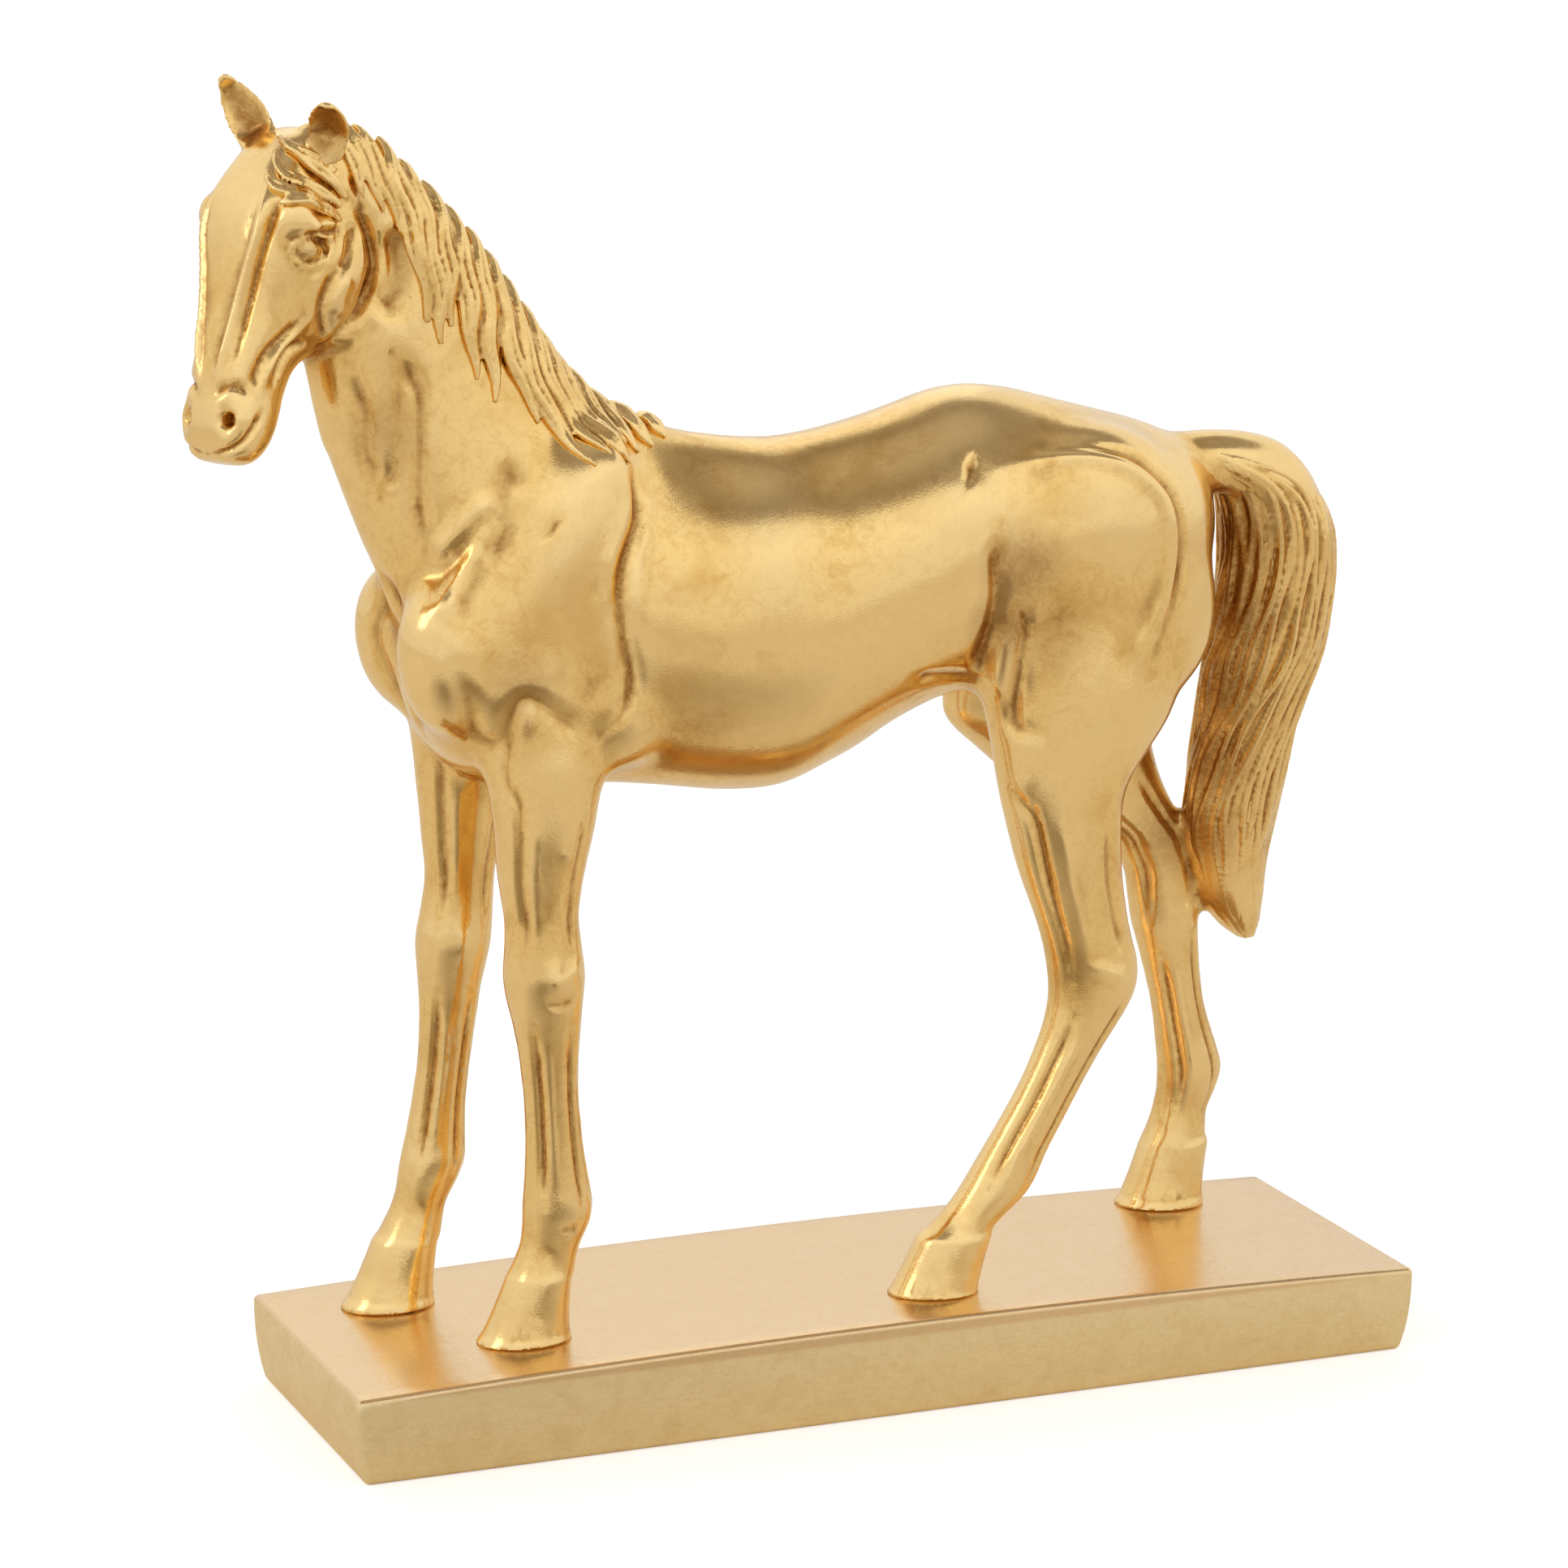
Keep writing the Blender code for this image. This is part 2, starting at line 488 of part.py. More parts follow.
def add_tail_locks(body):
    rows = resample(TAIL, 3)[6:]
    for index in range(TAIL_LOCKS):
        around = math.tau * index / TAIL_LOCKS
        path = []
        sides = []
        for step, (x, y, z, depth, half) in enumerate(rows):
            turn = around + 0.5 * math.sin(step * 0.16 + index)
            out = Vector((math.cos(turn), math.sin(turn), 0))
            path.append(Vector((x + out.x * depth * 0.86, y + out.y * half * 0.86, z)))
            sides.append(out)
        radii = [radius * min(1, row[3] / 9) for radius, row in zip(taper(len(path), TAIL_LOCK_RADIUS), rows)]
        add_tube(body, path, radii, 0.8, sides)


def add_eyes(body):
    axes = Matrix(head_frame()).transposed()
    for side in (-1, 1):
        add_ball(body, head_point(19.6, -7.2, side * 11.6), (3.0, 3.8, 2.8), axes)


def cast(name, build, grain, extra=None):
    """Make one skin around everything that `build` adds to a mesh."""
    body = bmesh.new()
    if extra:
        body.from_mesh(extra.data)
    build(body)
    bmesh.ops.recalc_face_normals(body, faces=body.faces)
    mesh = bpy.data.meshes.new(name)
    body.to_mesh(mesh)
    body.free()
    piece = bpy.data.objects.new(name, mesh)
    bpy.context.scene.collection.objects.link(piece)
    remesh = piece.modifiers.new("skin", "REMESH")
    remesh.mode = "VOXEL"
    remesh.voxel_size = grain
    return piece


def weigh(piece, rule):
    """A vertex group whose weights follow a rule of the vertex's place."""
    group = piece.vertex_groups.new(name="soften")
    for vertex in piece.data.vertices:
        weight = rule(vertex.co)
        if weight > 0:
            group.add([vertex.index], weight, "REPLACE")
    return group.name


def soften(piece, rule, factor, turns):
    """Smooth the skin where the rule gives it weight."""
    smooth = piece.modifiers.new("soften", "SMOOTH")
    smooth.factor = factor
    smooth.iterations = turns
    smooth.vertex_group = weigh(piece, rule)


def settle(piece):
    """Replace an object's mesh with its evaluated one."""
    graph = bpy.context.evaluated_depsgraph_get()
    mesh = bpy.data.meshes.new_from_object(piece.evaluated_get(graph))
    old = piece.data
    piece.modifiers.clear()
    piece.vertex_groups.clear()
    piece.data = mesh
    bpy.data.meshes.remove(old)


def skin_tree(piece):
    body = bmesh.new()
    body.from_mesh(piece.data)
    tree = BVHTree.FromBMesh(body)
    body.free()
    return tree


def blend_rule(place):
    """Strong on the trunk and the roots of the limbs, weak on the head and the lower legs."""
    if place.z < 95:
        return 0.05
    if place.x < -100 and place.z > 190:
        return 0.1
    return min(1.0, 0.05 + (place.z - 95) / 25)


def carve(piece, strokes, side):
    """Press grooves into one side of the skin, or raise ridges on it."""
    count = len(piece.data.vertices)
    places = np.empty(count * 3)
    normals = np.empty(count * 3)
    piece.data.vertices.foreach_get("co", places)
    piece.data.vertices.foreach_get("normal", normals)
    places = places.reshape(-1, 3)
    normals = normals.reshape(-1, 3)
    shift = np.zeros(count)
    for depth, width, points in strokes:
        nearest = np.full(count, 1e9)
        fade = np.zeros(count)
        last = len(points) - 1
        for index, (start, end) in enumerate(zip(points, points[1:])):
            start = np.array(start, dtype=float)
            run = np.array(end, dtype=float) - start
            offset = places[:, (0, 2)] - start
            along = np.clip(offset @ run / (run @ run), 0, 1)
            distance = np.linalg.norm(offset - along[:, None] * run, axis=1)
            closer = distance < nearest
            nearest[closer] = distance[closer]
            share = (index + along) / last
            fade[closer] = np.clip(np.minimum(share, 1 - share) * 5, 0.15, 1)[closer]
        facing = np.clip(normals[:, 1] * side * 2, 0, 1) * (places[:, 1] * side > 3)
        shift -= depth * fade * facing * np.exp(-(nearest / width) ** 2)
    places += normals * shift[:, None]
    piece.data.vertices.foreach_set("co", places.ravel())
    piece.data.update()


def press(piece, strokes):
    """Press grooves into the skin around lines in space."""
    count = len(piece.data.vertices)
    places = np.empty(count * 3)
    normals = np.empty(count * 3)
    piece.data.vertices.foreach_get("co", places)
    piece.data.vertices.foreach_get("normal", normals)
    places = places.reshape(-1, 3)
    normals = normals.reshape(-1, 3)
    shift = np.zeros(count)
    for depth, width, points in strokes:
        nearest = np.full(count, 1e9)
        for start, end in zip(points, points[1:]):
            start = np.array(start)
            run = np.array(end) - start
            along = np.clip((places - start) @ run / (run @ run), 0, 1)
            nearest = np.minimum(nearest, np.linalg.norm(places - start - along[:, None] * run, axis=1))
        shift -= depth * np.exp(-(nearest / width) ** 2)
    places += normals * shift[:, None]
    piece.data.vertices.foreach_set("co", places.ravel())
    piece.data.update()


def face_strokes():
    """The face's strokes on both of its sides, in the horse's grid."""
    strokes = []
    for depth, width, points in FACE_STROKES:
        for side in (-1, 1):
            strokes.append((depth, width, [head_point(down, out, left * side) for down, out, left in points]))
    return strokes


def make_material(name, colour, roughness, metallic=1.0):
    material = bpy.data.materials.new(name)
    material.use_nodes = True
    shader = material.node_tree.nodes["Principled BSDF"]
    shader.inputs["Base Color"].default_value = (*colour, 1)
    shader.inputs["Roughness"].default_value = roughness
    shader.inputs["Metallic"].default_value = metallic
    return material


def plinth_top(x):
    """Height of the plinth's crowned top at a place along it, in metres."""
    return PLINTH_HEIGHT + PLINTH_CROWN * (1 - (2 * x / PLINTH_LENGTH) ** 2)


def cut_soles(piece):
    """Cut each hoof flat, level with the plinth's top under it and a gap above."""
    body = bmesh.new()
    body.from_mesh(piece.data)
    for _, _, coronet, toe, heel, sideways in HOOVES.values():
        middle = STANCE_SHIFT + (toe + heel) / 2 * UNIT
        across = MIDLINE_SHIFT + sideways * UNIT
        reach = (heel - toe) * UNIT
        level = plinth_top(middle) + HOOF_GAP
        fall = 8 * PLINTH_CROWN * middle / PLINTH_LENGTH ** 2
        near = [face for face in body.faces
                if (face.calc_center_median() - Vector((middle, across, level))).length < reach]
        part = set(near) | {edge for face in near for edge in face.edges} \
            | {vert for face in near for vert in face.verts}
        cut = bmesh.ops.bisect_plane(body, geom=list(part), plane_co=(middle, across, level),
                                     plane_no=(-fall, 0, -1), clear_outer=True)
        rim = [item for item in cut["geom_cut"] if isinstance(item, bmesh.types.BMEdge)]
        bmesh.ops.holes_fill(body, edges=rim, sides=0)
    bmesh.ops.triangulate(body, faces=[face for face in body.faces if len(face.verts) > 4])
    body.to_mesh(piece.data)
    body.free()


def make_horse(collection):
    def limbs(body):
        add_trunk(body)
        add_neck(body)
        add_head(body)
        add_tail(body)
        for stations in (NEAR_FORELEG, FAR_FORELEG, NEAR_HINDLEG, FAR_HINDLEG):
            add_leg(body, stations)

    rough = cast("rough", limbs, BODY_GRAIN)
    settle(rough)
    soften(rough, blend_rule, 0.5, 26)
    settle(rough)
    tree = skin_tree(rough)

    def details(body):
        add_mane(body, tree)
        add_forelock(body, tree)
        add_tail_locks(body)
        add_eyes(body)
        for hoof in HOOVES.values():
            add_hoof(body, *hoof)
        for root, tip, facing, half in EARS:
            add_ear(body, head_point(*root), head_point(*tip), Vector(facing).normalized(), half)

    horse = cast("horse", details, LOCK_GRAIN, rough)
    bpy.data.objects.remove(rough)
    settle(horse)
    carve(horse, NEAR_STROKES, -1)
    carve(horse, NEAR_STROKES, 1)
    press(horse, face_strokes() + mane_strokes(tree))
    soften(horse, lambda place: 1.0, 0.4, 2)
    settle(horse)
    thin = horse.modifiers.new("fewer faces", "DECIMATE")
    thin.ratio = HORSE_TRIANGLES / sum(len(face.vertices) - 2 for face in horse.data.polygons)
    settle(horse)
    soles = [plinth_top(STANCE_SHIFT + (hoof[3] + hoof[4]) / 2 * UNIT) for hoof in HOOVES.values()]
    start = Vector((STANCE_SHIFT, MIDLINE_SHIFT, sum(soles) / len(soles)))
    horse.data.transform(Matrix.Translation(start) @ Matrix.Scale(UNIT, 4))
    cut_soles(horse)
    move_to(horse, collection)
    return horse


def make_plinth(collection):
    """A block with a crowned top and bulging sides that draw in towards the foot."""
    body = bmesh.new()
    bmesh.ops.create_cube(body, size=2)
    for axis, cuts in ((0, 11), (2, 4)):
        rails = [edge for edge in body.edges
                 if abs(edge.verts[0].co[axis] - edge.verts[1].co[axis]) > 1]
        bmesh.ops.subdivide_edges(body, edges=rails, cuts=cuts, use_grid_fill=True)
    for vertex in body.verts:
        rise = (vertex.co.z + 1) / 2
        inset = PLINTH_DRAFT * (1 - rise) ** 2.6
        vertex.co.x *= PLINTH_LENGTH / 2 - inset
        vertex.co.y *= PLINTH_WIDTH / 2 - inset
        vertex.co.z = plinth_top(vertex.co.x) * rise
    mesh = bpy.data.meshes.new("plinth")
    body.to_mesh(mesh)
    body.free()
    plinth = bpy.data.objects.new("plinth", mesh)
    collection.objects.link(plinth)
    edges = plinth.modifiers.new("softened edges", "BEVEL")
    edges.width = PLINTH_EDGE_ROUND
    edges.segments = 3
    edges.limit_method = "ANGLE"
    edges.angle_limit = math.radians(40)
    return plinth


def move_to(piece, collection):
    for holder in piece.users_collection:
        holder.objects.unlink(piece)
    collection.objects.link(piece)


def main():
    for item in list(bpy.context.scene.objects):
        bpy.data.objects.remove(item)
    collection = bpy.data.collections.new("horse_statuette")
    bpy.context.scene.collection.children.link(collection)
    plinth = make_plinth(collection)
    plinth.data.materials.append(make_material("plinth_gold", (0.80, 0.58, 0.26), 0.42))
    horse = make_horse(collection)
    horse.data.materials.append(make_material("horse_gold", (0.86, 0.62, 0.26), 0.26))
    horse.data.shade_smooth()


main()
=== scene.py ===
# Gold horse statuette on its oblong plinth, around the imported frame
import math

import bmesh
import bpy
import numpy as np
from mathutils import Matrix, Vector
from mathutils.bvhtree import BVHTree


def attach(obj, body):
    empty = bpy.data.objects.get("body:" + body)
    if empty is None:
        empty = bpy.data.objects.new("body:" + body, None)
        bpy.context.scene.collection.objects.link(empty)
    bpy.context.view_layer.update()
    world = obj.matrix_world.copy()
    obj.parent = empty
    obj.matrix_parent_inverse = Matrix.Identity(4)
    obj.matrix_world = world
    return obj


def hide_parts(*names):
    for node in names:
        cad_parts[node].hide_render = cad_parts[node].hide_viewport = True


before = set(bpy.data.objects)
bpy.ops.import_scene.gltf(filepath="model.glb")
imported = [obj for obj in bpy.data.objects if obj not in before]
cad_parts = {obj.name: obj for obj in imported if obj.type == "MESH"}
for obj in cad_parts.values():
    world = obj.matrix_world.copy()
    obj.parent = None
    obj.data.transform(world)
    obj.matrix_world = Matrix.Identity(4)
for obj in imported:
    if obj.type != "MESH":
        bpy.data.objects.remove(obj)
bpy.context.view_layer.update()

# The horse is laid out on a grid of 1 mm units from its soles and its own midline
figure = {
    "unit": 0.001,
    "stance": Vector((-0.0018, 0.0020, 0.02058)),  # where the grid's zero stands, on the plinth's middle
    "roughGrain": 1.25,  # voxel of the body under the hair
    "fineGrain": 0.56,  # voxel of the finished casting
    "triangles": 190000,
    "hoofGap": 0.0003,
    # where the skin is softened least: below the knees and ahead of the neck, but not round the coronets
    "kneeLevel": 50,
    "headPlace": -118,
    "coronetBand": (9.5, 17.5),
}

# Trunk rows: x, top, bottom, half-width, crown share, keel share
trunk = {
    "rows": [
        (-96, 163, 137, 15, 1.0, 1.0), (-92, 172, 128, 20.5, 1.0, 1.0), (-84, 184, 120, 23.5, 0.9, 1.0),
        (-73, 195, 117, 25, 0.75, 1.0), (-61, 199, 116, 26, 0.62, 1.0), (-49, 196.5, 115, 27, 0.6, 1.0),
        (-38, 191.5, 113.5, 27.5, 0.7, 1.0), (-26, 188.8, 111.7, 28.3, 0.8, 1.0),
        (-12, 187.4, 112, 29, 0.88, 1.0), (2, 189.3, 119, 29.2, 0.92, 1.0),
        (15, 192.5, 125.2, 28.8, 0.95, 1.0), (27, 196.2, 129.2, 28, 0.92, 0.98),
        (39, 195.8, 129, 27.5, 0.9, 0.95), (51, 192.6, 131, 27, 0.95, 0.95),
        (63, 189.2, 134, 26.5, 1.0, 0.95), (74, 186, 139, 23.5, 1.0, 1.0), (82, 181.5, 146, 18, 1.0, 1.0),
        (88, 174, 155, 10, 1.0, 1.0),
    ],
    # Muscles on the near side, made again on the far one: centre, half-sizes, turn about Y in degrees
    "muscles": [
        ((-66, -14.5, 166), (14, 11.5, 30), 24),
        ((-74, -16, 141), (15, 11, 16), 20),
        ((-91.8, -14.5, 147), (9.8, 10, 16.5), -8),
        ((-56, -18, 136), (12, 8.5, 15), -24),
        ((54, -14, 164), (27, 14, 25), 12),
        ((66.5, -12.5, 151), (19, 12.5, 26), -16),
        ((38, -17, 143), (11, 9, 16), 14),
        ((-18, 0, 150.5), (43, 28.8, 37), 2),
    ],
}

# Neck rows: crest x and z, throat x and z, sideways shift, half-width
neck = {
    "rows": [
        (-38, 190, -80, 128, 0, 24), (-51, 196.6, -96, 151, 0, 21.5), (-61, 206.6, -102.5, 166, -0.3, 17.5),
        (-67.5, 216.2, -107, 177, -0.6, 14.6), (-75, 227.9, -111, 187.5, -1, 12.2),
        (-84, 238.3, -113.5, 197, -1.4, 10.6), (-94, 248.6, -115, 206, -2, 9.8),
        (-105, 256.6, -116, 216, -2.6, 9.0), (-115, 258.2, -117, 228, -3.2, 7.8),
    ],
    "crownShare": 0.75,
    "keelShare": 0.95,
}

# Head: its own measures run down the face from the poll, out of the face and to its left
head = {
    "poll": Vector((-125.2, -3.6, 253.8)),
    "turn": 29,
    "slope": 70.5,
    "roll": -2,
    "fullness": 0.56,
    "muzzleShift": 1.2,  # how far the muzzle stands to the left of the forehead's middle
    # down, face line, jaw line, half-width, share at the face, share at the jaw
    "rows": [
        (-6, -9, -20, 7, 1.0, 0.9), (-2, -3.0, -22, 9.6, 1.0, 0.85), (4, 0.9, -23, 10.2, 1.05, 0.8),
        (9, 2.9, -26, 11.8, 1.1, 0.75), (15, 4.2, -31.6, 13.2, 1.08, 0.68),
        (21, 4.1, -33.8, 13.2, 1.02, 0.66), (27, 3.3, -33.4, 12.4, 1.0, 0.64),
        (33, 2.8, -30.0, 11.0, 1.0, 0.66), (37.5, 2.7, -24.4, 9.8, 1.02, 0.7),
        (42, 2.6, -18.2, 8.8, 1.08, 0.85), (48, 2.6, -15.8, 8.3, 1.1, 0.95),
        (53, 2.3, -14.8, 8.7, 1.1, 1.0), (57.5, 1.8, -13.8, 9.1, 1.1, 1.0),
        (62, 0.4, -11.8, 8.2, 1.1, 1.0), (64.8, -2.0, -8.8, 6.0, 1.0, 1.0),
    ],
    # on both sides: place, half-sizes
    "lumps": [
        ((23.5, -18.5, 8.0), (13.5, 12.8, 7.4)),  # cheek
        ((14.5, -3.0, 10.2), (5.4, 4.4, 4.8)),  # brow
        ((56, -2.5, 5.4), (5.0, 3.8, 3.8)),  # nostril's wing
    ],
    "chin": ((60.5, -9.4, 0), (4.2, 4.0, 5.8)),
    # seen from its side: eye's middle, how far its ball stands out of the skin, half-sizes
    "socket": [(1.8, 2.7, [(20.8, -4.4), (19.0, -9.4)])],
    "eye": ((20.0, -6.9), 1.2, (2.5, 3.8, 2.8)),
    # thin rolls laid on the skin: radius and points seen from the side
    "rolls": [
        (0.78, [(21.8, -3.0), (19.5, -3.0), (17.7, -4.4), (16.8, -7.0), (16.4, -10.0),
                (15.4, -12.8)]),  # upper lid
        (0.62, [(21.8, -3.2), (23.0, -5.0), (23.0, -7.6), (21.8, -10.0), (19.2, -11.6),
                (16.8, -12.0)]),  # lower lid
    ],
    # round the nostril, points down the face, out of it and to the side
    "nostrilRim": (0.6, [(53.4, 1.1, 3.6), (53.0, 0.6, 5.7), (55.2, -0.8, 7.0), (58.2, -1.8, 7.0),
                         (60.2, -1.6, 5.2)]),
    # pressed into both sides seen from the side: depth, half-width, points
    "sideLines": [
        (1.2, 1.2, [(50, -2.0), (46.5, -3.0), (42, -4.4), (37, -8.0), (33, -11)]),  # cheek to nostril
        (-0.9, 1.2, [(50, -4.4), (42, -6.6), (36, -10), (31, -12.4)]),
        (1.2, 1.1, [(47, -7.8), (40, -10.0), (37.2, -15)]),  # cheek to mouth
        (1.4, 1.3, [(21.0, -14.4), (25.5, -12.8), (30.5, -13), (33.8, -15.5),
                    (37, -19.5)]),  # cheek's front
        (-0.8, 1.9, [(22, -17.0), (27.5, -16.0), (31.5, -18)]),
    ],
    # pressed at places of the skin near these points: depth, half-width, points
    "grooves": [
        (4.2, 1.3, [(55.4, 0.6, 5.2), (56.8, 0.2, 5.5), (58.4, -0.4, 5.3)]),  # nostril
        (1.3, 0.7, [(54, -5.5, 8.2), (56.5, -4.4, 8.2), (59.5, -3.6, 6.4), (62, -2.4, 4.6),
                    (63.2, -2.0, 0)]),  # mouth
        (1.0, 0.9, [(52.2, 2.4, 2.4), (50.6, 2.2, 4.4), (49.6, 0.0, 6.4),
                    (51.2, -2.0, 7.6)]),  # over the nostril
        (-1.3, 0.8, [(9, 2.4, 7.2), (14.5, 3.0, 7.6), (20.5, 2.8, 7.2), (26.5, 2.8, 6.2), (33, 2.6, 5.2),
                     (40, 2.6, 4.2), (46, 2.6, 3.2), (51, 2.6, 2.8)]),  # nasal edge
        (1.3, 0.9, [(11, 0.6, 10.4), (14, 1.4, 9.6), (19, 1.6, 9.2), (25, 1.4, 8.2), (31, 1.0, 7.4),
                    (40, 1.0, 6.2), (48, 1.0, 5.0)]),
        (-1.7, 1.6, [(15.6, -3.4, 13.5), (14.6, -8.5, 12.5), (13.6, -12.5, 12)]),  # brow
        (1.8, 0.55, [(21.9, -3.9, 12), (19.7, -3.9, 13), (18.2, -5.4, 13.8), (17.6, -8, 14),
                     (17.9, -10.6, 13.6), (20, -11.2, 13.4), (21.8, -9.2, 12.8), (22.3, -6, 12.2),
                     (21.8, -3.8, 12)]),  # round the eye
        (1.5, 0.7, [(19.0, -2.2, 12.3), (17.0, -5.2, 13.5), (15.6, -9.3, 12.8),
                    (14.6, -13.5, 12.5)]),  # fold over the lid
        (1.1, 1.2, [(11, -17, 14), (15, -17.5, 13), (19.5, -16.5, 13),
                    (22.5, -15.0, 13)]),  # inside the cheek
        (0.8, 1.0, [(1.5, -12.5, 16), (6, -15.5, 16), (9.5, -18.5, 15.5)]),
    ],
    # pressed into one side only
    "oneSide": [
        (2.7, 1.4, [(7.5, -14.5, 13.5), (10.5, -18.5, 15), (16.5, -22, 16.5), (22, -23.5, 16),
                    (28, -23.5, 14), (33.5, -21.5, 12), (37, -20.5, 9)]),  # behind the jaw
        (2.3, 3.8, [(10, -22.5, 17), (16.5, -26.5, 18.5), (23, -28, 18), (30, -27, 15)]),
        (1.0, 4.5, [(21, -1, -12), (27, -1, -11.5), (34, -1, -9.5), (42, 0, -8)]),  # far eye to muzzle
    ],
}

# Legs: x, sideways place, z, half-depth, half-width
legs = {
    "nearFore": [
        (-72, -15, 140, 15, 9), (-71, -16.5, 127, 13.8, 9.8), (-70.6, -17.5, 119, 12.6, 9.5),
        (-71, -17.8, 110, 11.2, 8.8), (-71.8, -17.8, 101, 9.6, 7.7), (-71.8, -17.8, 92.5, 8.1, 6.9),
        (-71.5, -17.8, 86, 8.3, 7.2), (-71.3, -17.8, 79.5, 8.9, 7.8), (-71.2, -17.8, 74.5, 8.4, 7.4),
        (-70.8, -17.8, 69, 7.5, 6.3), (-70.4, -17.8, 61.5, 6.6, 5.3), (-70, -17.8, 52.5, 6.1, 4.9),
        (-69.5, -17.8, 43.5, 6.3, 5.0), (-69.1, -17.8, 35.5, 7.0, 5.5), (-68.8, -17.8, 29.5, 7.7, 6.2),
        (-69.2, -17.8, 25, 7.4, 6.2), (-70.6, -17.8, 20.5, 6.6, 5.7), (-72, -17.8, 16.5, 6.9, 6.1),
        (-73, -17.8, 13, 7.6, 6.8),
    ],
    "farFore": [
        (-76, 15, 140, 15, 9), (-76.5, 16, 127, 13, 9.8), (-77, 16.5, 119, 11.6, 9.3),
        (-77.3, 17, 110, 10.2, 8.4), (-77.8, 17, 101, 8.8, 7.4), (-78.2, 17, 94, 7.7, 6.8),
        (-79, 17, 86.5, 8.0, 7.1), (-79.8, 17, 80.5, 8.4, 7.6), (-80.2, 17, 76, 8.0, 7.2),
        (-80.8, 17, 69.5, 7.0, 6.0), (-81.3, 17, 62.5, 6.4, 5.2), (-82.3, 17, 53.5, 6.0, 4.9),
        (-83.6, 17, 44.5, 6.1, 5.0), (-84.6, 17, 36, 6.8, 5.5), (-85.3, 17, 31, 7.3, 6.1),
        (-86.6, 17, 26.5, 6.7, 5.8), (-88.4, 17, 22, 6.0, 5.4), (-90, 17, 17.5, 6.6, 6.1),
        (-91.4, 17, 13.5, 7.6, 6.8),
    ],
    "nearHind": [
        (56, -12, 152, 26, 14), (52.5, -13.5, 138, 23, 14), (52.8, -15.5, 126.5, 22.6, 13),
        (50, -17, 117.5, 18.6, 11.8), (47.4, -18, 109, 14.7, 10.4), (47.8, -19, 100, 13.1, 9.1),
        (49, -19.6, 91, 11.8, 7.9), (51.2, -20, 82, 10.7, 7.1), (52.8, -20, 76, 10.4, 7.0),
        (54.2, -20, 70, 10.6, 7.1), (54.0, -20.3, 64, 10.1, 6.8), (51.6, -20.6, 58, 9, 6.2),
        (48.2, -21, 52, 8.1, 5.5), (44.3, -21.3, 45.2, 7.6, 5.2), (39.3, -21.6, 37, 7.7, 5.2),
        (34.9, -21.8, 30, 7.9, 5.5), (31.4, -22, 24, 8.3, 6.0), (28.6, -22, 20.3, 8.2, 6.0),
        (25, -22, 17, 7.7, 5.8), (22, -22, 14.4, 7.9, 6.3), (20.2, -22, 12.6, 8.3, 6.9),
    ],
    "farHind": [
        (56, 12, 152, 26, 14), (56.5, 13.5, 138, 24, 14), (58, 15.5, 128.5, 23, 13.2),
        (59, 16.8, 120, 25.5, 12), (63.5, 18, 112.5, 22, 10.8), (70, 19.5, 104, 18, 9.6),
        (79, 21, 96, 12.8, 8.4), (87, 22, 88, 9.6, 7.5), (90.6, 22.5, 80, 8.8, 7.1),
        (91.8, 23, 73, 8.5, 7.0), (92.2, 23, 67.5, 8.1, 6.7), (93, 23, 62.5, 7.5, 6.0),
        (94.2, 23, 56, 6.9, 5.4), (95.6, 23, 48.5, 6.4, 5.1), (96.9, 23, 42.5, 6.7, 5.2),
        (98.4, 23, 36, 7.4, 5.7), (99.2, 23, 31, 7.8, 6.1), (98.5, 23, 26.5, 7.2, 5.9),
        (96.8, 23, 21.5, 6.5, 5.7), (95.9, 23, 17, 7.2, 6.3), (94.8, 23, 13.5, 8.0, 6.9),
    ],
}

# Hooves: toe and heel at the coronet and its height, toe and heel at the sole, sideways place
hooves = {
    "rows": [
        (-80.4, -66.3, 13.5, -86.6, -66.8, -17.8), (-99.2, -84.8, 13.5, -105.6, -86, 17),
        (12.0, 29.2, 12.6, 5.2, 25.6, -22), (87.0, 103.4, 13.5, 81.6, 102, 23),
    ],
    "halfWidth": 8.2,
    "coronetHalfWidth": 6.8,
    "bead": 0.4,  # how far the cast bead at the sole stands out
    "deepening": 2.2,
    "shares": (0.95, 1.15),  # fullness at the toe and at the heel
}

# Tail rows: x, sideways place, z, half-depth, half-width
tail = {
    "rows": [
        (74, 0, 176, 5, 6), (84, 0, 178, 5.5, 7), (93.5, 0, 175.8, 7.4, 8.5), (103, 0.5, 170.2, 10.9, 9.4),
        (107, 1, 161, 12.8, 10), (108.2, 2, 150.5, 13.1, 10.2), (107.9, 3.5, 140, 12.8, 10.2),
        (107.2, 5.5, 130.7, 12.7, 10), (106.1, 8, 121, 11.6, 9.8), (105.2, 10.5, 111.5, 10.8, 9.5),
        (104.7, 13, 101, 10.7, 9.1), (104.5, 15.5, 91.3, 10.6, 8.6), (105.3, 18, 81.7, 9.6, 7.8),
        (107, 19.5, 72.3, 8.2, 6.4), (109.8, 20.5, 65.5, 5, 4.4), (112, 21, 61.5, 1.8, 2),
    ],
    "locks": 11,
    "lockRadius": 3.5,
    "lockFlatness": 0.62,
    "sweep": (0.5, 0.1, 0.4),  # how far the hair turns round the tail, how fast and from where
    "ripple": (0.07, 0.33, 0.7),
    "strandAngles": (-58, -14, 30, 70),
    "strandRadius": 0.82,
    "grain": 0.45,
    "triangles": 170000,
}

